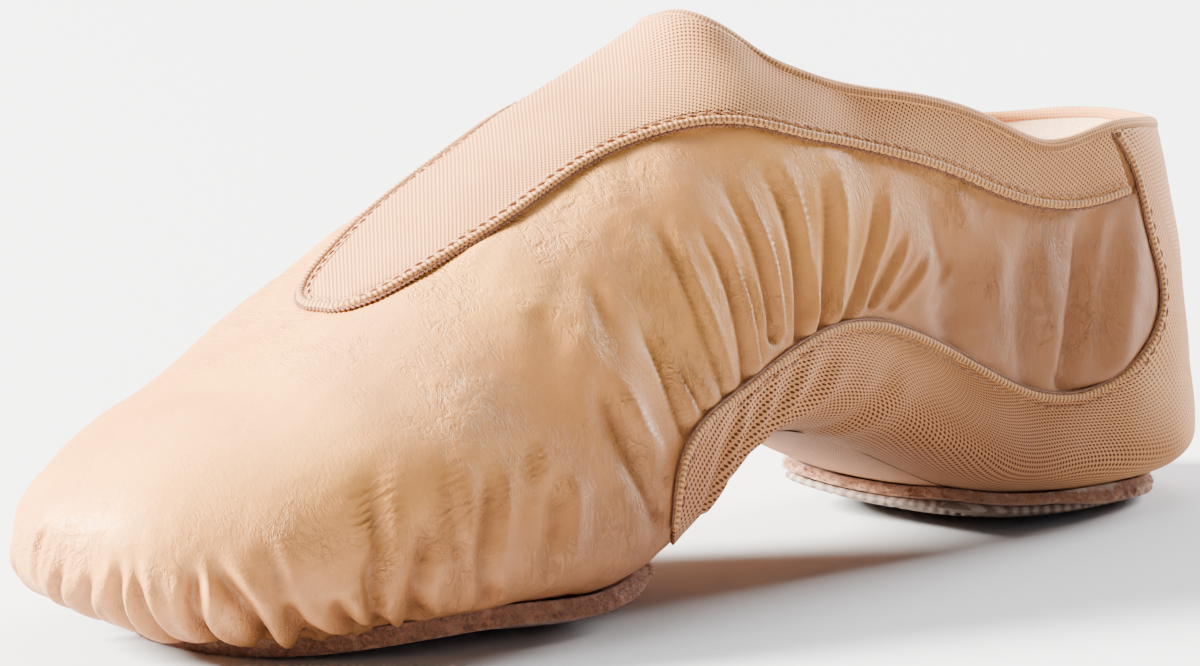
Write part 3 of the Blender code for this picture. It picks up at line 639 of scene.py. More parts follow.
def smooth(low, high, value):
    """A soft step from 0 below low to 1 above high."""
    share = np.clip((value - low) / (high - low), 0, 1)
    return share * share * (3 - 2 * share)


def ripple(points, wave, seed, count=10):
    """Soft seeded unevenness between about -1 and 1, with the given wavelength."""
    chance = np.random.default_rng(seed)
    lines = chance.normal(size=(count, 3))
    lines /= np.linalg.norm(lines, axis=1, keepdims=True)
    lines *= 2 * np.pi / wave * chance.uniform(0.6, 1.5, (count, 1))
    phase = chance.uniform(0, 2 * np.pi, count)
    return np.sin(points @ lines.T + phase).sum(-1) / np.sqrt(count)


def crease(points, line, width, depth, last):
    """The trough of one fold with a soft lip on both sides, and the painted shade of its bottom, stronger for
    deep and narrow folds.
    """
    curve = toward(spline(np.linspace(0, 1, len(line)), line)(np.linspace(0, 1, CREASE_POINTS)))
    reach = 5 * width
    near = np.all((points > curve.min(0) - reach) & (points < curve.max(0) + reach), axis=1)
    height, dark = np.zeros((2, len(points)))
    if not near.any():
        return height, dark
    some = points[near]
    nearest = np.linalg.norm(some[:, None] - curve[None], axis=2).argmin(1)
    place, across, foot = np.zeros(len(some)), np.full(len(some), LENGTH), np.zeros((len(some), 3))
    for first in (np.clip(nearest - 1, 0, len(curve) - 2), np.clip(nearest, 0, len(curve) - 2)):
        start, run = curve[first], curve[first + 1] - curve[first]
        along = np.clip(((some - start) * run).sum(1) / (run * run).sum(1), 0, 1)
        spots = start + run * along[:, None]
        apart = np.linalg.norm(some - spots, axis=1)
        closer = apart < across
        place = np.where(closer, (first + along) / (len(curve) - 1), place)
        foot = np.where(closer[:, None], spots, foot)
        across = np.where(closer, apart, across)
    across = across / width
    run = smooth(0, 0.45, place) * (1 - (1 - last) * smooth(0.6, 1, place))
    heelward = np.tanh((foot - some)[:, 0] / width)
    lip = (0.5 + 0.25 * heelward) * np.exp(-((across - 1.7) / 0.85) ** 2)
    trough = -np.exp(-across ** 1.7) + lip
    ends = np.where((place <= 0) | (place >= 1), np.exp(-across ** 2 / 4), 1)
    height[near] = depth * run * trough * ends
    # Painted shade: the fold's bottom is darkened in colour, more for deep and narrow folds.
    dark[near] = -depth * run * np.exp(-(across / 0.75) ** 2) * ends * min(1.0, 2.0 * MM / width) ** 3
    return height, dark


def wrinkles(points, wave, seed, stretch=0.4):
    """Thin crooked lines that run round the foot: 1 on a line, 0 away from it."""
    drawn = points * np.array([1.0, stretch, stretch])
    drawn = drawn + 0.12 * wave * ripple(points, 1.3 * wave, seed + 3)[:, None]
    return np.exp(-(ripple(drawn, wave, seed, 14) / 0.24) ** 2)


def folds(points, table, side, shift=0.0, share=1.0):
    """All folds of a table on one side: their height and the painted shade of their bottoms."""
    height, dark = np.zeros((2, len(points)))
    for row in table:
        line = np.array([flank(along + shift, rise, side) for along, rise in row[:3]])
        one, bottom = crease(points, line, row.width * MM, share * row.depth * MM, row.last)
        height += one
        dark += bottom
    return height, dark


DENT_SPOTS = [toward(spot(row.along, row.out, row.rise)[None])[0] for row in DENTS]


def belly_share(points):
    """How far each point lies below the widest line: 0 on it, 1 underneath."""
    share = points[:, 0] / LENGTH
    return (WIDE(share) - points[:, 2]) / (WIDE(share) - UNDER(share))


def dents(points):
    """Broad hollows and swellings that all the outer layers share."""
    height = np.zeros(len(points))
    for row, at in zip(DENTS, DENT_SPOTS):
        apart = np.linalg.norm(points - at, axis=1) / (row.reach * MM)
        height -= row.depth * MM * np.exp(-apart ** 2)
    return height


def inside(angles, polygon):
    """Whether each pair of angles lies in a polygon."""
    hit = np.zeros(len(angles), bool)
    for (ax, ay), (bx, by) in zip(polygon, np.roll(polygon, -1, 0)):
        cross = (ay > angles[:, 1]) != (by > angles[:, 1])
        with np.errstate(divide="ignore", invalid="ignore"):
            at = ax + (angles[:, 1] - ay) * (bx - ax) / (by - ay)
        hit ^= cross & (angles[:, 0] < at)
    return hit


def seen(points):
    """The points as azimuth and elevation from the centre of the last."""
    ray = points - CENTRE
    return np.stack([np.arctan2(ray[:, 1], ray[:, 0]),
                     np.arctan2(ray[:, 2], np.hypot(ray[:, 0], ray[:, 1]))], -1)


def bare(points):
    """How far each spot of the leather is from the mesh that covers it: below zero where covered."""
    angles = seen(points)
    covered = np.zeros(len(points), bool)
    up, down, back = np.pi / 2, -np.pi / 2, np.pi
    lines = []
    seam = gore_curves(300)[0]
    lines.append(seam)
    covered |= inside(angles, np.concatenate([[[back, up]], [[back, seen(seam[:1])[0, 1]]], seen(seam),
                                              [[-back, seen(seam[-1:])[0, 1]]], [[-back, up]]]))
    for side in (1, -1):
        edge, feet = quarter_edge(side, 200)
        edge = np.concatenate([toward(feet[:1]), edge])
        lines.append(edge[1:])
        path = seen(edge)
        covered |= inside(angles, np.concatenate([[[path[0, 0], down]], path, [[path[-1, 0], up]],
                                                  [[side * back, up]], [[side * back, down]]]))
    lines = np.concatenate(lines)
    tree = KDTree(len(lines))
    for i, line in enumerate(lines):
        tree.insert(line, i)
    tree.balance()
    apart = np.array([tree.find(point)[2] for point in points])
    return np.where(covered, -apart, apart)


def leather_relief(points, settings):
    """Height of the leather over the last, and how deep in a fold each spot is, which paints shade into its
    colour.
    """
    edge = bare(points)
    free = smooth(-0.8 * MM, 2.2 * MM, edge)
    sunk = -SUNK * (1 - smooth(-1.2 * MM, 0.0, edge))
    left, dark = folds(points, QUARTER_FOLDS, 1)
    right, far_side_fold_shade = folds(points, QUARTER_FOLDS, -1, -0.012, 0.85)
    fold = settings.fold_depth * (left + right)
    dark = dark + far_side_fold_shade
    for row in PLEATS:
        line = np.array([toward(spot(*at)[None])[0] for at in row.line])
        pleat, bottom = crease(points, line, row.width * MM, row.depth * MM, row.last)
        fold += settings.pleat_depth * pleat
        dark += bottom
    x, z = points[:, 0] / LENGTH, points[:, 2]
    low = smooth(0.66, 0.78, x) * np.exp(-((z - 9 * MM) / (7 * MM)) ** 2)
    fore = smooth(0.50, 0.62, x)
    swell = 1.1 * MM * low - 0.35 * MM * fore - 0.45 * MM * smooth(0.80, 0.97, x)
    girth = points * np.array([1.0, 0.45, 0.45])
    soft = 0.34 * MM * ripple(points, 34 * MM, SEED) + 0.22 * MM * ripple(girth, 11 * MM, SEED + 1)
    fine = 0.05 * MM * ripple(points, 4.5 * MM, SEED + 2, 16) * (0.5 + 0.5 * fore)
    flat_top = smooth(0.80, 0.90, x) * smooth(24 * MM, 34 * MM, z)
    near_fold = np.clip(np.abs(fold) / (0.5 * MM), 0, 1)
    patches = smooth(-0.5, 0.9, ripple(points, 30 * MM, SEED + 31)) + 0.6 * near_fold
    lines = wrinkles(points, 16 * MM, SEED + 32) + 0.5 * wrinkles(points, 8.5 * MM, SEED + 37, 0.55)
    lines = np.clip(lines, 0, 1.2) * np.clip(patches, 0, 1.1) * (1 - 0.85 * flat_top)
    fold -= WRINKLE_DEEP * lines
    # Painted shade: the fine wrinkle lines are darkened in colour as well as sunk.
    dark -= WRINKLE_SHADE * lines
    groove = -SEAM_GROOVE * np.exp(-((edge - 0.4 * MM) / SEAM_GROOVE_WIDE) ** 2)
    groove = np.where(edge > -1.2 * MM, groove, 0)
    height = dents(points) + free * (fold + swell + soft + fine) + groove + sunk
    return height, free * dark / MM


def piece(name, points, faces, material, slot, nodes=(), facing=1, uv=None, marks=None, flat=False):
    """A finished object of the shoe from points in the last's own frame."""
    points = np.asarray(points) - FRAME_ORIGIN
    faces = np.asarray(faces)
    probe = faces[:: max(1, len(faces) // 4000)]
    corners = points[probe]
    normal = np.cross(corners[:, 1] - corners[:, 0], corners[:, 2] - corners[:, 0])
    if facing and (normal * (corners.mean(1) - (CENTRE - FRAME_ORIGIN))).sum() * facing < 0:
        faces = faces[:, ::-1]
    mesh = bpy.data.meshes.new(name)
    mesh.from_pydata(points.tolist(), [], faces.tolist())
    mesh.update()
    if uv is not None:
        corner = np.empty(len(mesh.loops), np.int32)
        mesh.loops.foreach_get("vertex_index", corner)
        layer = mesh.uv_layers.new(name="weave")
        layer.data.foreach_set("uv", np.asarray(uv, np.float32)[corner].ravel())
    for label, values in (marks or {}).items():
        mark = mesh.attributes.new(label, "FLOAT", "POINT")
        mark.data.foreach_set("value", np.asarray(values, np.float32))
    if not flat:
        mesh.polygons.foreach_set("use_smooth", np.ones(len(mesh.polygons), bool))
    mesh.materials.append(material)
    item = bpy.data.objects.new(name, mesh)
    bpy.context.scene.collection.objects.link(item)
    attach(item, "root")
    if nodes:
        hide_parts(*nodes)
    return item


def walled(grid, closed, high, low):
    """Points and faces of a sheet with real thickness: outside, inside and the edges between."""
    rows, columns = grid.shape[:2]
    flat = grid.reshape(-1, 3)
    normals = outward(flat)
    high = np.broadcast_to(np.asarray(high, float).reshape(-1, 1), (len(flat), 1))
    outer = flat + normals * high
    inner = flat + normals * np.minimum(low, high - 0.1 * MM)
    faces = quads(rows, columns, closed)
    count = len(flat)
    edges = []
    for row in (0, rows - 1):
        line = row * columns + np.arange(columns if closed else columns - 1)
        ahead = row * columns + (np.arange(len(line)) + 1) % columns
        edges.append(np.stack([line, ahead, ahead + count, line + count], -1) if row
                     else np.stack([ahead, line, line + count, ahead + count], -1))
    if not closed:
        for column in (0, columns - 1):
            line = column + columns * np.arange(rows - 1)
            ahead = line + columns
            edges.append(np.stack([ahead, line, line + count, ahead + count], -1) if column
                         else np.stack([line, ahead, ahead + count, line + count], -1))
    return np.concatenate([outer, inner]), np.concatenate([faces, faces[:, ::-1] + count] + edges)


def sides_of(path, normals, closed=False):
    """Directions ahead, aside and up along a path."""
    if closed:
        ahead = np.roll(path, -1, 0) - np.roll(path, 1, 0)
    else:
        ahead = np.gradient(path, axis=0)
    ahead = ahead / np.linalg.norm(ahead, axis=1, keepdims=True)
    aside = np.cross(ahead, normals)
    aside = aside / np.linalg.norm(aside, axis=1, keepdims=True)
    return ahead, aside, np.cross(aside, ahead)


def tube(path, aside, up, radius, count, closed=False, low=None):
    """Points and faces of a tube, round or flattened, along a path."""
    turn = np.arange(count) * 2 * np.pi / count
    radius = np.broadcast_to(np.asarray(radius, float).reshape(-1, 1, 1), (len(path), 1, 1))
    low = radius if low is None else low
    points = path[:, None] + radius * np.sin(turn)[None, :, None] * aside[:, None]
    points = points + low * np.cos(turn)[None, :, None] * up[:, None]
    points = points.reshape(-1, 3)
    if closed:
        points = np.concatenate([points, points[:count]])
    return points, quads(len(points) // count, count, True)


def joined(parts):
    """Several lots of points and faces as one."""
    points, faces, base = [], [], 0
    for part_points, part_faces in parts:
        points.append(part_points)
        faces.append(part_faces + base)
        base += len(part_points)
    return np.concatenate(points), np.concatenate(faces)


def twisted(curve, lift, radius, pitch, strands=2, sides=7):
    """Strands laid round each other along a curve on the last."""
    length = lengths(curve)
    count = int(length[-1] / STRAND_STEP)
    every = 4 if len(length) > 400 else 1
    knots = length[::every]
    path = spline(knots, curve[::every])(np.linspace(0, knots[-1], count))
    normals = outward(path)
    path = path + normals * (lift + radius + dents(path))[:, None]
    _, aside, up = sides_of(path, normals)
    parts = []
    for strand in range(strands):
        turn = np.linspace(0, length[-1], count) / pitch * 2 * np.pi + strand * 2 * np.pi / strands
        line = path + 0.45 * radius * (np.cos(turn)[:, None] * up + np.sin(turn)[:, None] * aside)
        parts.append(tube(line, aside, up, 0.58 * radius, sides))
    return joined(parts)


def stitches(curve, lift, long, apart, radius, slant=0.0, chance=None):
    """Single stitches that dip into the cloth at both ends, in a row along a curve on the last."""
    length = lengths(curve)
    fine = spline(length, curve)
    parts = []
    step = long + apart
    for at in np.arange(apart, length[-1] - step, step):
        share = np.linspace(0, 1, STITCH_POINTS)
        where = at + share * long
        path = fine(where)
        normals = outward(path)
        _, aside, up = sides_of(path, normals)
        arch = np.sin(np.pi * share)[:, None]
        lean = (slant * (share - 0.5) + (chance.normal(0, 0.04) if chance else 0)) * long
        high = lift + dents(path)[:, None] + (1.5 * arch - 0.7) * radius
        path = path + normals * high + aside * lean[:, None]
        thick = radius * (0.55 + 0.45 * np.sin(np.pi * share))
        parts.append(tube(path, aside, up, thick, 6))
    return joined(parts)


def looped(curve, lift, radius, low, pitch, sides=10):
    """A band of thread loops along a curve on the last, with its cloth coordinates."""
    length = lengths(curve)
    knots = length[::4]
    where = np.linspace(0, knots[-1], int(knots[-1] / LOOP_STEP))
    path = spline(knots, curve[::4])(where)
    normals = outward(path)
    path = path + normals * (lift + dents(path))[:, None]
    _, aside, up = sides_of(path, normals)
    swell = 1 + 0.09 * np.cos(2 * np.pi * where / pitch) + 0.06 * ripple(path, 6 * MM, SEED + 40)
    points, faces = tube(path, aside, up, radius * swell, sides, False, low)
    turn = np.arange(sides) / sides
    return points, faces, np.stack([np.repeat(where, sides), np.tile(turn, len(where))], -1)


def zigzag(curve, lift, width, step, radius):
    """A thread that runs to and fro along a curve on the last."""
    length = lengths(curve)
    fine = spline(length, curve)
    count = int(length[-1] / step)
    where = np.linspace(0, length[-1], count * 4 + 1)
    wave = np.interp(np.arange(len(where)) % 4, [0, 1, 2, 3], [0, 1, 0, -1])
    path = fine(where)
    normals = outward(path)
    _, aside, up = sides_of(path, normals)
    high = lift + dents(path) + 0.35 * radius * (1 - np.abs(wave))
    path = path + normals * high[:, None] + aside * (wave * width / 2)[:, None]
    _, aside, up = sides_of(path, normals)
    return tube(path, aside, up, radius, 6)


def fibres(spots, outs, count, long, thick, chance):
    """Short loose hairs that stand off a cut edge."""
    pick = chance.integers(0, len(spots), count)
    roots = spots[pick] + chance.normal(0, 0.15 * MM, (count, 3))
    lean = outs[pick] + chance.normal(0, 0.75, (count, 3))
    lean /= np.linalg.norm(lean, axis=1, keepdims=True)
    ends = roots + lean * (long * chance.uniform(0.4, 1.0, (count, 1)))
    bend = chance.normal(0, 0.22, (count, 3)) * long
    middle = (roots + ends) / 2 + bend
    middle[:, 2] = np.maximum(middle[:, 2], thick)
    ends[:, 2] = np.maximum(ends[:, 2], thick)
    side = np.cross(lean, chance.normal(size=(count, 3)))
    side /= np.linalg.norm(side, axis=1, keepdims=True)
    other = np.cross(lean, side)
    rings = []
    for centre, share in ((roots, 1.0), (middle, 0.7), (ends, 0.15)):
        for k in range(3):
            turn = 2 * np.pi * k / 3
            rings.append(centre + thick * share * (np.cos(turn) * side + np.sin(turn) * other))
    points = np.stack(rings, 1).reshape(-1, 3)
    base = np.arange(count)[:, None, None] * 9
    faces = base + quads(3, 3, True)[None]
    return points, faces.reshape(-1, 4)


def ridge_place(points):
    """Cloth coordinates of the gore: along the ridge, and down from it on each side."""
    x = np.linspace(0, LENGTH, 300)
    along = lengths(np.stack([x, TOP(x / LENGTH)], -1))
    share = points[:, 0] / LENGTH
    u = np.interp(points[:, 0], x, along)
    y = points[:, 1] - SWING(share) - LEAN(share)
    v = np.sign(y) * np.hypot(y, TOP(share) - points[:, 2])
    return np.stack([u + v, u - v], -1) / np.sqrt(2)


class Wire:
    """A shader socket that takes part in sums."""

    def __init__(self, finish, socket):
        self.finish = finish
        self.socket = socket

    def sum(self, operation, first, second):
        """A sum of two sockets or numbers."""
        return self.finish.node("ShaderNodeMath", {"operation": operation}, {0: first, 1: second})

    def __add__(self, other):
        return self.sum("ADD", self, other)

    def __radd__(self, other):
        return self.sum("ADD", other, self)

    def __sub__(self, other):
        return self.sum("SUBTRACT", self, other)

    def __rsub__(self, other):
        return self.sum("SUBTRACT", other, self)

    def __mul__(self, other):
        return self.sum("MULTIPLY", self, other)

    def __rmul__(self, other):
        return self.sum("MULTIPLY", other, self)

    def __pow__(self, other):
        return self.sum("POWER", self, other)

    def cosine(self):
        return self.finish.node("ShaderNodeMath", {"operation": "COSINE"}, {0: self})

    def apart(self, level):
        """How far the value is from a level."""
        return self.finish.node("ShaderNodeMath", {"operation": "ABSOLUTE"}, {0: self - level})

    def step(self, low, high, start=0.0, end=1.0):
        """A soft step from start below low to end above high."""
        return self.finish.node("ShaderNodeMapRange", {"interpolation_type": "SMOOTHSTEP"},
                                {0: self, 1: low, 2: high, 3: start, 4: end})


class Finish:
    """A material in the making."""

    def __init__(self, name, roughness, **fixed):
        self.material = bpy.data.materials.new(name)
        self.material.use_nodes = True
        self.tree = self.material.node_tree
        self.shader = self.tree.nodes["Principled BSDF"]
        self.shader.inputs["Roughness"].default_value = roughness
        for label, value in fixed.items():
            self.shader.inputs[label.replace("_", " ")].default_value = value
        self.place = self.node("ShaderNodeTexCoord", {}, {}, "Object")

    def node(self, kind, settings, values, output=0):
        """A new shader node with its settings and inputs, as the socket it gives."""
        node = self.tree.nodes.new(kind)
        for key, value in settings.items():
            setattr(node, key, value)
        for key, value in values.items():
            self.feed(node.inputs[key], value)
        return Wire(self, node.outputs[output])

    def feed(self, socket, value):
        if isinstance(value, Wire):
            self.tree.links.new(value.socket, socket)
        else:
            socket.default_value = value

    def give(self, label, value):
        self.feed(self.shader.inputs[label], value)

    def mix(self, share, low, high):
        return self.node("ShaderNodeMix", {"data_type": "RGBA"}, {0: share, 6: low, 7: high}, 2)

    def noise(self, size, detail=3.0, rough=0.5, warp=0.0, where=None):
        return self.node("ShaderNodeTexNoise", {}, {"Vector": where or self.place, "Scale": 1 / size,
                                                    "Detail": detail, "Roughness": rough, "Distortion": warp})

    def girth(self, share):
        """The place drawn out round the foot, for creases that run that way."""
        return self.node("ShaderNodeVectorMath", {"operation": "MULTIPLY"},
                         {0: self.place, 1: (1.0, share, share)})

    def split(self, vector):
        """The three numbers of a vector."""
        parts = self.tree.nodes.new("ShaderNodeSeparateXYZ")
        self.feed(parts.inputs[0], vector)
        return [Wire(self, output) for output in parts.outputs]

    def mark(self, label):
        return self.node("ShaderNodeAttribute", {"attribute_name": label}, {}, "Fac")

    def cloth(self):
        return self.split(self.node("ShaderNodeUVMap", {"uv_map": "weave"}, {}))[:2]

    def bump(self, height, distance, strength=1.0):
        self.give("Normal", self.node("ShaderNodeBump", {}, {"Height": height, "Distance": distance,
                                                              "Strength": strength}))


def paint(colour):
    """A colour property as a four-number shader colour."""
    return (*colour, 1.0)


def leather_finish(settings):
    """Rubbed leather with a fine crinkle; shade is painted into its colour near the ground, in the folds and
    in the crinkle lines.
    """
    finish = Finish("fine crinkled leather", 0.42, Specular_IOR_Level=0.30, Coat_Weight=0.05,
                    Coat_Roughness=0.32, Sheen_Weight=0.0, Specular_Tint=TINT,
                    Sheen_Tint=(1.0, 0.86, 0.66, 1.0))
    patch = finish.noise(26 * MM, 3.0)
    light = finish.mix(patch.step(0.38, 0.64), paint(settings.colour), paint(settings.colour_worn))
    x, _, z = finish.split(finish.place)
    # Painted shade: the leather is darker and pinker towards the ground and towards the heel.
    low = (z + x * LOW_SHADE_SLOPE).step(LOW_SHADE_FROM, LOW_SHADE_TO, 0.95, 0.0)
    low_shaded = finish.mix(low, light, paint(settings.low_shade_colour))
    # Painted shade in the folds: the 'fold' attribute darkens the colour towards the fold shade colour.
    fold = finish.mark("fold")
    shade = finish.mix(fold.step(-0.1, -1.5, 0.0, 0.5), low_shaded, paint(settings.fold_shade_colour))
    lines = finish.noise(2.6 * MM, 4.0, 0.62, 0.9, finish.girth(0.42)).apart(0.5).step(0.0, 0.075)
    small = finish.noise(1.15 * MM, 4.0, 0.65, 0.7, finish.girth(0.5)).apart(0.5).step(0.0, 0.10)
    tip = x.step(*TOE_TIP) * z.step(*TOE_TOP)
    creased = finish.noise(12 * MM, 3.0).step(0.40, 0.64, 0.08, 1.0) * (1 - tip * 0.85)
    veins = 1 - (1 - lines) * creased
    # Painted shade in the crinkle lines: they are darkened towards the fold shade colour.
    finish.give("Base Color", finish.mix((1 - veins * (0.55 + small * 0.45)) * 0.16, shade,
                                         paint(settings.fold_shade_colour)))
    finish.give("Roughness", 0.40 + patch * 0.10 + (1 - lines) * 0.08)
    grain = finish.noise(0.5 * MM, 4.0, 0.6, 0.0, finish.girth(0.6))
    finish.bump(veins * 0.6 + small * (0.06 + creased * 0.2) + grain * 0.22, 0.25 * MM, 1.0)
    return finish.material


def mesh_finish(name, settings, pitch, strong=1.0, low=0.10, high=0.62):
    """Knitted mesh: holes in a lattice painted dark as shade, fainter at the heel, with painted shade under
    the arch.
    """
    finish = Finish(name, 0.78, Specular_IOR_Level=0.22, Sheen_Weight=0.08, Sheen_Roughness=0.5,
                    Specular_Tint=TINT, Sheen_Tint=(1.0, 0.84, 0.62, 1.0))
    u, v = finish.cloth()
    turn = 2 * np.pi / pitch
    sway = finish.noise(9 * MM, 2.0) * 1.1
    lattice = (u * turn + sway).cosine() + (v * turn + sway).cosine()
    x, _, z = finish.split(finish.place)
    hole = (lattice * 0.5).step(low, high) * x.step(*HEEL_FADE, 0.45, 1.0)
    patch = finish.noise(19 * MM, 3.0)
    yarn = finish.mix(patch.step(0.35, 0.65), paint(settings.colour), paint(settings.colour_light))
    # Painted shade: the mesh is darker low down under the arch.
    arch = z.step(*ARCH_SHADE_LOW, 0.75, 0.0) * x.step(*ARCH_SHADE_FADE)
    yarn = finish.mix(arch, yarn, paint(settings.low_shade_colour))
    # Painted shade: the holes take a dark colour that stands in for the shade inside them.
    finish.give("Base Color", finish.mix(hole * strong, yarn, paint(settings.hole_shade_colour)))
    twist = (u * (turn * 3.0)).cosine() * (v * (turn * 3.0)).cosine()
    finish.bump(1 - hole + twist * 0.12, 0.12 * MM, 0.9)
    return finish.material


def loop_finish(name, light, dark, pitch):
    """Light loops of thread with painted shade in the gaps between them."""
    finish = Finish(name, 0.7, Specular_IOR_Level=0.25, Sheen_Weight=0.04)
    u, v = finish.cloth()
    sway = finish.noise(3 * MM, 2.0) * 1.6
    gap = (u * (2 * np.pi / pitch) + sway).cosine().step(-0.1, 0.6)
    middle = (v * (4 * np.pi)).cosine().step(-0.8, -0.1, 0.35, 1.0)
    hole = gap * middle
    hair = finish.noise(0.35 * MM, 3.0, 0.6)
    # Painted shade: the gaps between the loops take the dark colour, which also tints stray hairs.
    finish.give("Base Color", finish.mix(hole * 0.85, finish.mix(hair.step(0.3, 0.7, 0.0, 0.35), paint(light),
                                                                 paint(dark)), paint(dark)))
    finish.bump(1 - hole + hair * 0.2, 0.22 * MM, 1.0)
    return finish.material


def thread_finish(name, colour, dark, size=0.35 * MM):
    """Spun thread in two tones."""
    finish = Finish(name, 0.6, Specular_IOR_Level=0.35, Sheen_Weight=0.15)
    hair = finish.noise(size, 3.0, 0.6, 1.2)
    finish.give("Base Color", finish.mix(hair.step(0.35, 0.65), paint(dark), paint(colour)))
    finish.bump(hair, 0.08 * MM, 0.8)
    return finish.material


def suede_finish(name, main, dark, light, size, glue=None):
    """Suede with a clumped nap, and a streak of dried glue if its colour is given."""
    finish = Finish(name, 0.95, Specular_IOR_Level=0.15, Sheen_Weight=0.25, Sheen_Roughness=0.6)
    nap = finish.noise(size, 5.0, 0.7, 0.6)
    clump = finish.noise(size * 5, 4.0, 0.6)
    body = finish.mix(nap.step(0.32, 0.62), paint(dark), paint(main))
    colour = finish.mix(clump.step(0.5, 0.75, 0.0, 0.7), body, paint(light))
    if glue:
        away = finish.node("ShaderNodeVectorMath", {"operation": "MULTIPLY_ADD"},
                           {0: finish.place, 1: (GLUE_STRETCH, 1.0, 1.0), 2: GLUE_SPOT}, 0)
        far = finish.node("ShaderNodeVectorMath", {"operation": "LENGTH"}, {0: away}, "Value")
        colour = finish.mix((far + clump * (3 * MM)).step(2.6 * MM, 4.4 * MM, 0.85, 0.0), colour, paint(glue))
    finish.give("Base Color", colour)
    finish.bump(nap + clump * 0.6, 0.35 * MM, 1.0)
    return finish.material


def rubber_finish(settings):
    """Dusty rubber, rubbed paler on the ridges."""
    finish = Finish("moulded rubber tread", 0.6, Specular_IOR_Level=0.4)
    ridge = finish.mark("ridge")
    dust = finish.noise(2.2 * MM, 4.0, 0.6)
    worn = finish.mix(ridge * (0.6 + dust * 0.6), paint(settings.tread), paint(settings.tread_worn))
    finish.give("Base Color", worn)
    finish.give("Roughness", 0.5 + dust * 0.25)
    finish.bump(finish.noise(0.5 * MM, 3.0), 0.08 * MM, 0.6)
    return finish.material


def lining_finish(settings):
    """Brushed cloth with darker patches."""
    finish = Finish("brushed lining", 0.9, Specular_IOR_Level=0.2, Sheen_Weight=0.3, Sheen_Roughness=0.5)
    weave = finish.noise(0.7 * MM, 4.0, 0.7)
    patch = finish.noise(16 * MM, 3.0)
    cloth = finish.mix(weave.step(0.3, 0.7), paint(settings.lining_dark), paint(settings.lining))
    finish.give("Base Color", finish.mix(patch.step(0.45, 0.8, 0.0, 0.4), cloth, paint(settings.lining_dark)))
    finish.bump(weave, 0.14 * MM, 0.8)
    return finish.material


def shade(name, text, value):
    """A colour property."""
    return bpy.props.FloatVectorProperty(name=name, description=text, subtype="COLOR", size=3,
                                         min=0.0, max=1.0, default=value)


def share(name, text, value):
    """A plain factor property."""
    return bpy.props.FloatProperty(name=name, description=text, default=value, min=0.0, max=3.0,
                                   subtype="FACTOR")


def size(name, text, value):
    """A length property in metres."""
    return bpy.props.FloatProperty(name=name, description=text, default=value, min=0.0, unit="LENGTH",
                                   precision=5)


class LeatherSettings(bpy.types.PropertyGroup):
    """Sizes and colours of the leather."""

    colour: shade("Leather", "Main colour of the leather", (0.585, 0.244, 0.068))
    colour_worn: shade("Rubbed", "Lighter patches", (0.640, 0.280, 0.066))
    # Painted shade: the darker, pinker colour towards the ground.
    low_shade_colour: shade("Low", "Pinker tone near the ground", (0.278, 0.107, 0.047))
    # Painted shade in the folds and crinkle lines.
    fold_shade_colour: shade("Fold", "Tone in the folds", (0.120, 0.040, 0.019))
    fold_depth: share("Fold depth", "Depth of the folds on the quarter", 1.0)
    pleat_depth: share("Pleat depth", "Depth of the pleats round the toe", 1.0)


class MeshSettings(bpy.types.PropertyGroup):
    """Sizes and colours of the mesh pieces."""

    colour: shade("Mesh", "Main colour of the mesh", (0.545, 0.234, 0.088))
    colour_light: shade("Mesh light", "Lighter patches of the mesh", (0.605, 0.274, 0.106))
    # Painted shade on the mesh under the arch.
    low_shade_colour: shade("Mesh low", "Deeper tone of the mesh under the arch", (0.308, 0.117, 0.058))
    # Painted shade inside the holes.
    hole_shade_colour: shade("Holes", "Colour seen through the holes", (0.070, 0.018, 0.006))
    pitch: size("Hole pitch", "Distance between holes of the mesh", 0.66 * MM)


class ThreadSettings(bpy.types.PropertyGroup):
    """Sizes and colours of threads and cords."""

    cord: shade("Edge loops", "Light tone of the panel's edge loops", (0.600, 0.285, 0.095))
    cord_dark: shade("Cord dark", "Dark tone of threads and cords", (0.230, 0.090, 0.040))
    loop: shade("Gore loops", "Light tone of the gore's edge loops", (0.640, 0.300, 0.095))
    # Painted shade between the loops; also the real colour of the dark overlock and edge cord threads.
    gap_shade_and_dark_thread: shade("Gaps", "Dark tone between the loops", (0.140, 0.042, 0.016))
    thread: shade("Thread", "Colour of the stitches", (0.380, 0.160, 0.062))
    loop_pitch: size("Loop pitch", "Distance between the edge loops", 0.95 * MM)
    cord_pitch: size("Cord twist", "Length of one turn of the cord", 1.5 * MM)
    stitch: size("Stitch length", "Length of one stitch", 2.0 * MM)
    thread_radius: size("Thread radius", "Half the thickness of the stitching thread", 0.17 * MM)


class SoleSettings(bpy.types.PropertyGroup):
    """Sizes and colours of the pads, tread, lining and insole."""

    suede: shade("Suede", "Colour of the forefoot pad", (0.360, 0.135, 0.068))
    suede_dark: shade("Suede dark", "Dark tone of the forefoot pad", (0.130, 0.042, 0.021))
    suede_light: shade("Suede light", "Light fibres of the forefoot pad", (0.480, 0.240, 0.130))
    heel: shade("Heel suede", "Colour of the heel pad", (0.360, 0.150, 0.072))
    heel_dark: shade("Heel suede dark", "Dark tone of the heel pad", (0.170, 0.060, 0.027))
    heel_light: shade("Heel suede light", "Light fibres of the heel pad", (0.500, 0.260, 0.145))
    glue: shade("Glue", "Dried glue on the heel pad's edge", (0.700, 0.560, 0.440))
    tread: shade("Tread", "Colour of the rubber", (0.110, 0.062, 0.044))
    tread_worn: shade("Tread rubbed", "Colour of the tread's ridges", (0.240, 0.170, 0.135))
    lining: shade("Lining", "Colour of the lining", (0.640, 0.420, 0.270))
    lining_dark: shade("Lining dark", "Dark tone of the lining", (0.500, 0.300, 0.180))
    fibre: size("Fibre length", "Length of the loose fibres at the pad's edge", 1.3 * MM)


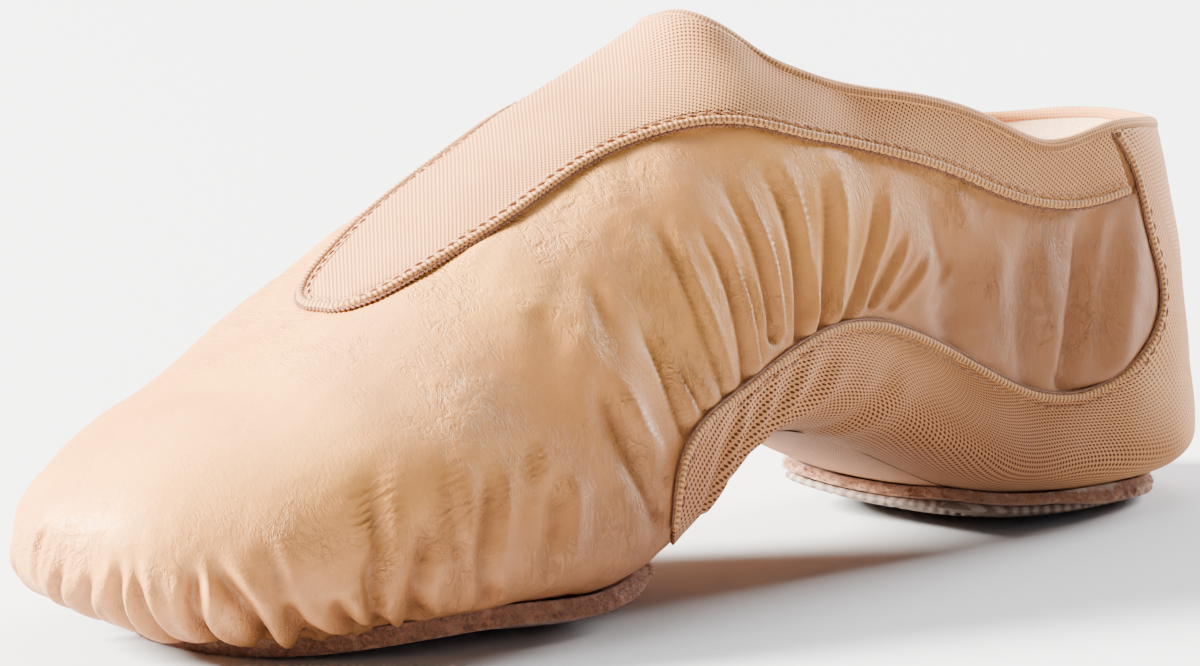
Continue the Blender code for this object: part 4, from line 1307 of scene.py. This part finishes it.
class StageSettings(bpy.types.PropertyGroup):
    """Camera and floor."""

    distance: size("Camera distance", "From the shoe to the camera", 2.0)
    azimuth: bpy.props.FloatProperty(name="Azimuth", description="Where the camera stands round the shoe",
                                     default=np.radians(135), subtype="ANGLE")
    elevation: bpy.props.FloatProperty(name="Elevation", description="How high the camera stands",
                                       default=np.radians(10), subtype="ANGLE")
    floor: shade("Floor", "Colour of the floor", (0.56, 0.57, 0.60))


class JAZZ_OT_leather(bpy.types.Operator):
    """Build the pleated leather upper"""

    bl_idname = "jazz.leather"
    bl_label = "Leather upper"

    def execute(self, context):
        settings = context.scene.jazz_leather
        (rim, wide, under), place = guides(LEATHER_COLUMNS)
        crowd = 1 + TOE_CROWD * place[None, :, None] ** 3
        shares = np.linspace(0, 1, SIDE_ROWS, endpoint=False)[:, None, None]
        side = between(rim, wide, 1 - (1 - shares) ** crowd)
        belly = between(wide, under, np.linspace(0, 1, BELLY_ROWS))
        grid = np.concatenate([side, belly])
        columns = LEATHER_COLUMNS
        points = grid.reshape(-1, 3)
        faces = quads(len(grid), columns, True)
        share = under[:, 0] / LENGTH
        pairs = np.array([j for j in range(1, columns // 2) if BRIDGE_BACK < share[j] < BRIDGE_FRONT])
        arch = between(grid[-1, pairs], grid[-1, columns - pairs], np.linspace(0, 1, BRIDGE_ROWS))
        points = np.concatenate([points, arch.reshape(-1, 3)])
        faces = np.concatenate([faces, (quads(BRIDGE_ROWS, len(pairs)) + grid.shape[0] * columns)])
        # fold here is the painted shade of the folds, pleats and wrinkles, kept as the 'fold' attribute for
        # the leather's colour.
        height, fold = leather_relief(points, settings)
        points = points + outward(points) * height[:, None]
        piece("leather", points, faces, leather_finish(settings), "leather", ("upper",), marks={"fold": fold})
        return {"FINISHED"}


class JAZZ_OT_lining(bpy.types.Operator):
    """Build the lining inside the shoe and the insole"""

    bl_idname = "jazz.lining"
    bl_label = "Lining and insole"

    def execute(self, context):
        finish = lining_finish(context.scene.jazz_sole)
        (rim, wide, under), _ = guides(LINING_COLUMNS)
        shares = np.linspace(0, 1, LINING_ROWS, endpoint=False)
        grid = np.concatenate([between(rim, wide, shares),
                               between(wide, under, np.linspace(0, 1, LINING_BELLY_ROWS))])
        points = grid.reshape(-1, 3)
        down = np.repeat(np.append(shares, np.ones(LINING_BELLY_ROWS)), LINING_COLUMNS)
        away = smooth(0.0, 0.12, down) * (1 - smooth(0.45, 0.8, belly_share(points)))
        soft = 0.4 * MM * ripple(points, 24 * MM, SEED + 5)
        deep = WALL + (LINING_DEEP + soft) * away - np.minimum(dents(points), 0) * (1 - away)
        points = points - outward(points) * deep[:, None]
        piece("lining", points, quads(len(grid), LINING_COLUMNS, True), finish, "lining", facing=-1)
        loop = outline(INSOLE, INSOLE_COLUMNS)[1]
        rings = np.linspace(0.02, 1, INSOLE_RINGS)
        middle = loop.mean(0)
        front = np.stack([loop[:, 0], np.full(len(loop), middle[1]), loop[:, 2]], -1)
        bed = front[None] + (loop - front)[None] * rings[:, None, None]
        bed[..., 2] = UNDER(bed[..., 0] / LENGTH)
        bed = toward(bed)
        points, faces = walled(bed, True, -WALL - INSOLE_GAP, -WALL - INSOLE_GAP - INSOLE_THICK)
        piece("sockliner", points, faces, finish, "lining", ("insole",), facing=0)
        return {"FINISHED"}


class JAZZ_OT_gore(bpy.types.Operator):
    """Build the mesh gore, its folded edge and its threads"""

    bl_idname = "jazz.gore"
    bl_label = "Throat gore"

    def execute(self, context):
        mesh, thread = context.scene.jazz_mesh, context.scene.jazz_thread
        seam, rim = gore_curves(GORE_COLUMNS)
        grid = between(rim, beside(seam, -EDGE_WIDTH + 0.3 * MM), np.linspace(0, 1, GORE_ROWS))
        points = grid.reshape(-1, 3)
        raised = CLOTH_HIGH + dents(points) + 0.12 * MM * ripple(points, 22 * MM, SEED + 7)
        points, faces = walled(grid, False, raised, -WALL)
        uv = ridge_place(np.concatenate([grid.reshape(-1, 3)] * 2))
        piece("gore_mesh", points, faces, mesh_finish("gore mesh", mesh, mesh.pitch), "mesh",
              ("throat_gore",), uv=uv)
        seam = gore_curves(HEM_COLUMNS)[0]
        rows = np.linspace(0, 1, HEM_ROWS)
        band = between(beside(seam, -EDGE_WIDTH), seam, rows)
        lip = np.exp(-(((1 - rows) * EDGE_WIDTH - LIP_PLACE) / LIP_WIDE) ** 4)
        high = CLOTH_HIGH + 0.05 * MM + LIP_HIGH * lip
        flat = band.reshape(-1, 3)
        lift = np.repeat(high, band.shape[1]) + dents(flat)
        points, faces = walled(band, False, lift, -0.6 * MM)
        uv = ridge_place(np.tile(flat, (2, 1)))
        piece("gore_hem", points, faces, mesh_finish("gore hem", mesh, mesh.pitch, 0.9), "mesh",
              ("gore_edge",), uv=uv)
        light = loop_finish("gore loops", thread.loop, thread.gap_shade_and_dark_thread, thread.loop_pitch)
        points, faces, uv = looped(beside(seam, -LIP_PLACE), LIP_HIGH, 0.62 * MM, LIP_HIGH,
                                   thread.loop_pitch)
        piece("gore_loops", points, faces, light, "mesh", facing=0, uv=uv)
        chance = np.random.default_rng(SEED)
        line = beside(seam, -SEAM_STITCHES)[::3]
        points, faces = stitches(line, CLOTH_HIGH + 0.12 * MM, thread.stitch * 0.85, 0.5 * MM,
                                 thread.thread_radius, 0.25, chance)
        warm = thread_finish("gore thread", thread.thread, thread.cord_dark)
        piece("gore_stitches", points, faces, warm, "cord", facing=0)
        line = beside(seam, 0.2 * MM)[::3]
        points, faces = zigzag(line, 0.0, 0.5 * MM, 0.9 * MM, 0.2 * MM)
        dark = thread_finish("gore overlock", thread.gap_shade_and_dark_thread, thread.cord_dark)
        piece("gore_overlock", points, faces, dark, "cord", facing=0)
        return {"FINISHED"}


class JAZZ_OT_arch(bpy.types.Operator):
    """Build the mesh panel under the arch and round the heel, with the cords on its edge"""

    bl_idname = "jazz.arch"
    bl_label = "Arch and heel panel"

    def execute(self, context):
        mesh, thread = context.scene.jazz_mesh, context.scene.jazz_thread
        left_top, left_foot = quarter_edge(1, PANEL_SIDE)
        right_top, right_foot = quarter_edge(-1, PANEL_SIDE)
        back = np.concatenate([rim_side(1)[CORNER::-1], rim_side(-1)[1:CORNER + 1]])
        back_top = even(toward(back), PANEL_BACK + 2)[1:-1]
        share = np.linspace(0, 1, PANEL_BACK + 2)[1:-1, None]
        back_foot = left_foot[-1] * (1 - share) + right_foot[-1] * share
        top = np.concatenate([left_top, back_top, right_top[::-1]])
        foot = toward(np.concatenate([left_foot, back_foot, right_foot[::-1]]))
        top[:PANEL_SIDE] = beside(left_top, -0.4 * MM)
        top[-PANEL_SIDE:] = beside(right_top, 0.4 * MM)[::-1]
        top = toward(top)
        grid = between(top, foot, np.linspace(0, 1, PANEL_ROWS))
        flat = grid.reshape(-1, 3)
        fold = folds(flat, PANEL_FOLDS, 1)[0] + folds(flat, PANEL_FOLDS, -1, -0.01, 0.8)[0]
        fold = np.maximum(fold, -0.62 * MM)
        low = smooth(0.45, 0.95, belly_share(flat))
        lift = CLOTH_HIGH + (OVERLAY_GAP + OVERLAY - CLOTH_HIGH) * low
        lift = lift + fold + 0.15 * MM * ripple(flat, 18 * MM, SEED + 9)
        points, faces = walled(grid, False, lift, -SHEET_LOW)
        rows, columns = grid.shape[:2]
        down = np.linalg.norm(np.diff(grid, axis=0), axis=2)
        rise = np.concatenate([np.cumsum(down[::-1], 0)[::-1], np.zeros((1, columns))])
        along = np.repeat(lengths(wide_at(grid))[None], rows, 0)
        uv = np.tile(np.stack([along.ravel(), rise.ravel()], -1), (2, 1))
        pairs = np.array([j for j in range(PANEL_SIDE) if left_foot[j, 0] / LENGTH > PANEL_BRIDGE_BACK])
        across = np.linspace(0, 1, PANEL_BRIDGE_ROWS)
        arch = between(grid[-1, pairs], grid[-1, columns - 1 - pairs], across)
        under = arch.reshape(-1, 3)
        under_points = under + outward(under) * (OVERLAY_GAP + OVERLAY)
        under_uv = np.stack([np.tile(along[0, pairs], PANEL_BRIDGE_ROWS),
                             np.repeat(-across, len(pairs)) * PANEL_FOOT_SHARE * 1.9 * HEEL], -1)
        bridge = quads(PANEL_BRIDGE_ROWS, len(pairs))
        points, faces = joined([(points, faces), (under_points, bridge)])
        cloth = mesh_finish("arch mesh", mesh, 1.35 * mesh.pitch, 1.0, 0.0, 0.5)
        piece("arch_mesh", points, faces, cloth, "mesh", ("arch_counter_panel",),
              uv=np.concatenate([uv, under_uv]))
        cord = loop_finish("edge loops", thread.cord, thread.gap_shade_and_dark_thread, thread.loop_pitch)
        warm = thread_finish("panel thread", thread.thread, thread.cord_dark)
        dark = thread_finish("edge cord", thread.gap_shade_and_dark_thread, thread.cord_dark)
        chance = np.random.default_rng(SEED + 1)
        for name, side in (("left", 1), ("right", -1)):
            edge = quarter_edge(side, EDGE_COLUMNS)[0]
            points, faces, uv = looped(beside(edge, -side * 0.5 * MM), 0.25 * MM, 0.66 * MM, 0.5 * MM,
                                       thread.loop_pitch)
            piece("cord_" + name, points, faces, cord, "cord", ("quarter_piping_" + name,), facing=0, uv=uv)
            points, faces = twisted(beside(edge, side * 0.35 * MM), -0.15 * MM, 0.3 * MM, thread.cord_pitch)
            piece("cord_line_" + name, points, faces, dark, "cord", facing=0)
            line = beside(edge, -side * SEAM_STITCHES)[6:-30]
            points, faces = stitches(line[::3], CLOTH_HIGH, thread.stitch, 0.6 * MM,
                                     thread.thread_radius, 0.0, chance)
            piece("panel_stitches_" + name, points, faces, warm, "cord", facing=0)
        return {"FINISHED"}


def wide_at(grid):
    """The row of a grid of columns that lies halfway down."""
    return grid[len(grid) // 2]


class JAZZ_OT_rim(bpy.types.Operator):
    """Build the rolled mesh rim of the collar"""

    bl_idname = "jazz.rim"
    bl_label = "Collar rim"

    def execute(self, context):
        mesh = context.scene.jazz_mesh
        rim = collar(RIM_COLUMNS)
        normals = outward(rim)
        _, aside, up = sides_of(rim, normals, True)
        wave = ripple(rim, 14 * MM, SEED + 12)
        path = rim + aside * (RIM_RADIUS * 0.35) + normals * (-0.5 * MM) + normals * dents(rim)[:, None]
        radius = RIM_RADIUS * (1 + 0.06 * wave)
        points, faces = tube(path, aside, up, radius, RIM_SIDES, True, 0.85 * MM)
        turn = np.arange(RIM_SIDES) * 2 * np.pi * 1.35 * MM / RIM_SIDES
        along = np.append(lengths(path), lengths(path)[-1] + 0.6 * MM)
        uv = np.stack([np.repeat(along, RIM_SIDES), np.tile(turn, RIM_COLUMNS + 1)], -1)
        piece("rim_roll", points, faces, mesh_finish("rim mesh", mesh, mesh.pitch, 0.8), "mesh",
              ("collar_binding",), facing=0, uv=uv)
        return {"FINISHED"}


class JAZZ_OT_forefoot(bpy.types.Operator):
    """Build the forefoot pad of brown suede with its fibrous edge"""

    bl_idname = "jazz.forefoot"
    bl_label = "Forefoot pad"

    def execute(self, context):
        sole = context.scene.jazz_sole
        suede = suede_finish("fibrous suede", sole.suede, sole.suede_dark, sole.suede_light, 0.7 * MM)
        points, faces, wall, outs = pad(FORE_PAD, PAD_COLUMNS, PAD_GAP, PAD_GAP + PAD_THICK, 0.0, 0.45 * MM,
                                        FORE_RINGS)
        piece("forefoot_suede", points, faces, suede, "suede", ("forefoot_outsole",), facing=0)
        chance = np.random.default_rng(SEED + 3)
        hair = fibres(wall, outs, FORE_FIBRES, sole.fibre, 0.045 * MM, chance)
        piece("forefoot_fibres", *hair, suede, "suede", facing=0)
        return {"FINISHED"}


def pad(table, columns, high, low, floor, rough, rings, shrink=0.0):
    """A pad under the last with an uneven cut edge; also the spots and directions of its edge."""
    middle, loop = outline(table, columns, shrink)
    shares = np.linspace(0.01, 1, rings)
    flat = middle + (loop - middle)[None] * shares[:, None, None]
    flat[..., 2] = UNDER(flat[..., 0] / LENGTH)
    skin = toward(flat)
    normals = outward(skin)
    if callable(low):
        low = low(loop[:, :1] / LENGTH)
    bottom = skin + normals * low
    if floor is not None:
        bottom[..., 2] = np.maximum(bottom[..., 2], floor)
    top = (skin + normals * high)[::-1][:PAD_TOP_ROWS]
    away = loop - middle
    away[:, 2] = 0
    away /= np.linalg.norm(away, axis=1, keepdims=True)
    share = np.linspace(0, 1, PAD_WALL_ROWS)[1:-1, None, None]
    wall = bottom[-1] * (1 - share) + top[0] * share
    uneven = ripple(wall.reshape(-1, 3), 1.7 * MM, SEED + 21, 24).reshape(wall.shape[:2])
    broad = ripple(wall.reshape(-1, 3), 9 * MM, SEED + 22).reshape(wall.shape[:2])
    bulge = EDGE_BULGE * np.sin(np.pi * share[..., 0]) + rough * (0.5 * uneven + 0.35 * broad)
    wall = wall + away * bulge[..., None]
    grid = np.concatenate([bottom, wall, top])
    outs = np.broadcast_to(away, wall.shape).reshape(-1, 3)
    return grid.reshape(-1, 3), quads(len(grid), columns, True)[:, ::-1], wall.reshape(-1, 3), outs


class JAZZ_OT_heel(bpy.types.Operator):
    """Build the heel pad and its rubber tread"""

    bl_idname = "jazz.heel"
    bl_label = "Heel pad and tread"

    def execute(self, context):
        sole = context.scene.jazz_sole
        suede = suede_finish("heel suede", sole.heel, sole.heel_dark, sole.heel_light, 0.55 * MM, sole.glue)
        high = OVERLAY_GAP + OVERLAY + GAP

        def backward(along):
            return 1 - smooth(TREAD_BACK, TREAD_FRONT, along)

        points, faces, wall, outs = pad(
            HEEL_PAD, PAD_COLUMNS, high,
            lambda along: high + HEEL_PAD_THICK + HIDDEN_SUEDE * backward(along),
            0.15 * MM, 0.55 * MM, HEEL_RINGS)
        piece("heel_suede", points, faces, suede, "heel_suede", ("heel_outsole",), facing=0)
        hair = fibres(wall, outs, HEEL_FIBRES, 0.6 * sole.fibre, 0.04 * MM, np.random.default_rng(SEED + 4))
        piece("heel_fibres", *hair, suede, "heel_suede", facing=0)
        base = high + HEEL_PAD_THICK + TREAD_GAP
        points, faces, _, _ = pad(
            HEEL_PAD, TREAD_COLUMNS, base, base + TREAD_THICK, 0.0, 0.05 * MM, TREAD_RINGS,
            lambda along: TREAD_INSET + (TREAD_STEP + MM - TREAD_INSET) * backward(along))
        x, y = points[:, 0], points[:, 1]
        chevron = np.abs((y / CHEVRON_WIDE) % 2 - 1) * CHEVRON_WIDE
        wave = np.sin((x + chevron) * 2 * np.pi / RIDGE_PITCH)
        ridge = smooth(-0.25, 0.15, wave)
        groove = np.zeros(len(points))
        below = TREAD_COLUMNS * TREAD_RINGS
        groove[:below] = (1 - ridge[:below]) * GROOVE_DEEP
        points[:, 2] += groove
        piece("heel_rubber", points, faces, rubber_finish(sole), "rubber", ("heel_tread",), facing=0,
              marks={"ridge": ridge})
        return {"FINISHED"}


class JAZZ_OT_stage(bpy.types.Operator):
    """Set up the floor, the lights and the camera"""

    bl_idname = "jazz.stage"
    bl_label = "Stage"

    def execute(self, context):
        settings = context.scene.jazz_stage
        mesh = bpy.data.meshes.new("floor")
        corners = [(-1, -1), (1, -1), (1, 1), (-1, 1)]
        mesh.from_pydata([(x * FLOOR_REACH, y * FLOOR_REACH, 0) for x, y in corners], [], [(0, 1, 2, 3)])
        floor = bpy.data.objects.new("floor", mesh)
        context.scene.collection.objects.link(floor)
        finish = Finish("paper floor", 0.9, Specular_IOR_Level=0.1)
        dust = finish.noise(0.5, 2.0)
        colour = settings.floor
        finish.give("Base Color", finish.mix(dust * 0.02, paint(colour), paint([0.97 * c for c in colour])))
        mesh.materials.append(finish.material)
        a, e = settings.azimuth, settings.elevation
        back = Vector((np.sin(a) * np.cos(e), -np.cos(a) * np.cos(e), np.sin(e)))
        right = Vector((np.cos(a), np.sin(a), 0.0))
        up = back.cross(right)
        aim = Vector((AIM_ALONG - FRAME_ORIGIN[0], -FRAME_ORIGIN[1], AIM_HIGH))
        aim = aim + right * AIM_RIGHT + up * AIM_UP
        camera_data = bpy.data.cameras.new("camera")
        camera_data.lens = LENS
        camera_data.sensor_width = SENSOR
        camera_data.clip_end = FAR_CLIP
        camera = bpy.data.objects.new("camera", camera_data)
        camera.location = aim + back * settings.distance
        camera.rotation_euler = back.to_track_quat("Z", "Y").to_euler()
        context.scene.collection.objects.link(camera)
        context.scene.camera = camera
        for row in LAMPS:
            place = back * row.back + right * row.right + Vector((0, 0, row.rise))
            data = bpy.data.lights.new(row.name, "AREA")
            data.size = row.wide
            data.energy = row.power
            data.color = row.tone
            lamp = bpy.data.objects.new(row.name, data)
            lamp.location = place
            lamp.rotation_euler = place.to_track_quat("Z", "Y").to_euler()
            context.scene.collection.objects.link(lamp)
        world = bpy.data.worlds.new("studio")
        world.use_nodes = True
        world.node_tree.nodes["Background"].inputs["Color"].default_value = (1.0, 1.0, 1.0, 1.0)
        world.node_tree.nodes["Background"].inputs["Strength"].default_value = WORLD_LIGHT
        context.scene.world = world
        return {"FINISHED"}


class JAZZ_PT_panel(bpy.types.Panel):
    """The shoe's pieces and settings in the sidebar"""

    bl_idname = "JAZZ_PT_panel"
    bl_label = "Jazz shoe"
    bl_space_type = "VIEW_3D"
    bl_region_type = "UI"
    bl_category = "Jazz shoe"

    def draw(self, context):
        for operator in OPERATORS:
            self.layout.operator(operator.bl_idname)
        for label in SETTINGS:
            box = self.layout.box()
            group = getattr(context.scene, label)
            for name in group.bl_rna.properties.keys():
                if name not in ("rna_type", "name"):
                    box.prop(group, name)


SETTINGS = {"jazz_leather": LeatherSettings, "jazz_mesh": MeshSettings, "jazz_thread": ThreadSettings,
            "jazz_sole": SoleSettings, "jazz_stage": StageSettings}
OPERATORS = [JAZZ_OT_leather, JAZZ_OT_lining, JAZZ_OT_gore, JAZZ_OT_arch, JAZZ_OT_rim, JAZZ_OT_forefoot,
             JAZZ_OT_heel, JAZZ_OT_stage]


def register():
    for item in [*SETTINGS.values(), *OPERATORS, JAZZ_PT_panel]:
        bpy.utils.register_class(item)
    for label, group in SETTINGS.items():
        setattr(bpy.types.Scene, label, bpy.props.PointerProperty(type=group))


def unregister():
    for label in SETTINGS:
        delattr(bpy.types.Scene, label)
    for item in [JAZZ_PT_panel, *reversed(OPERATORS), *reversed(SETTINGS.values())]:
        bpy.utils.unregister_class(item)


def main():
    register()
    for operator in OPERATORS:
        group, name = operator.bl_idname.split(".")
        getattr(getattr(bpy.ops, group), name)()
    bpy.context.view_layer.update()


if __name__ == "__main__":
    main()
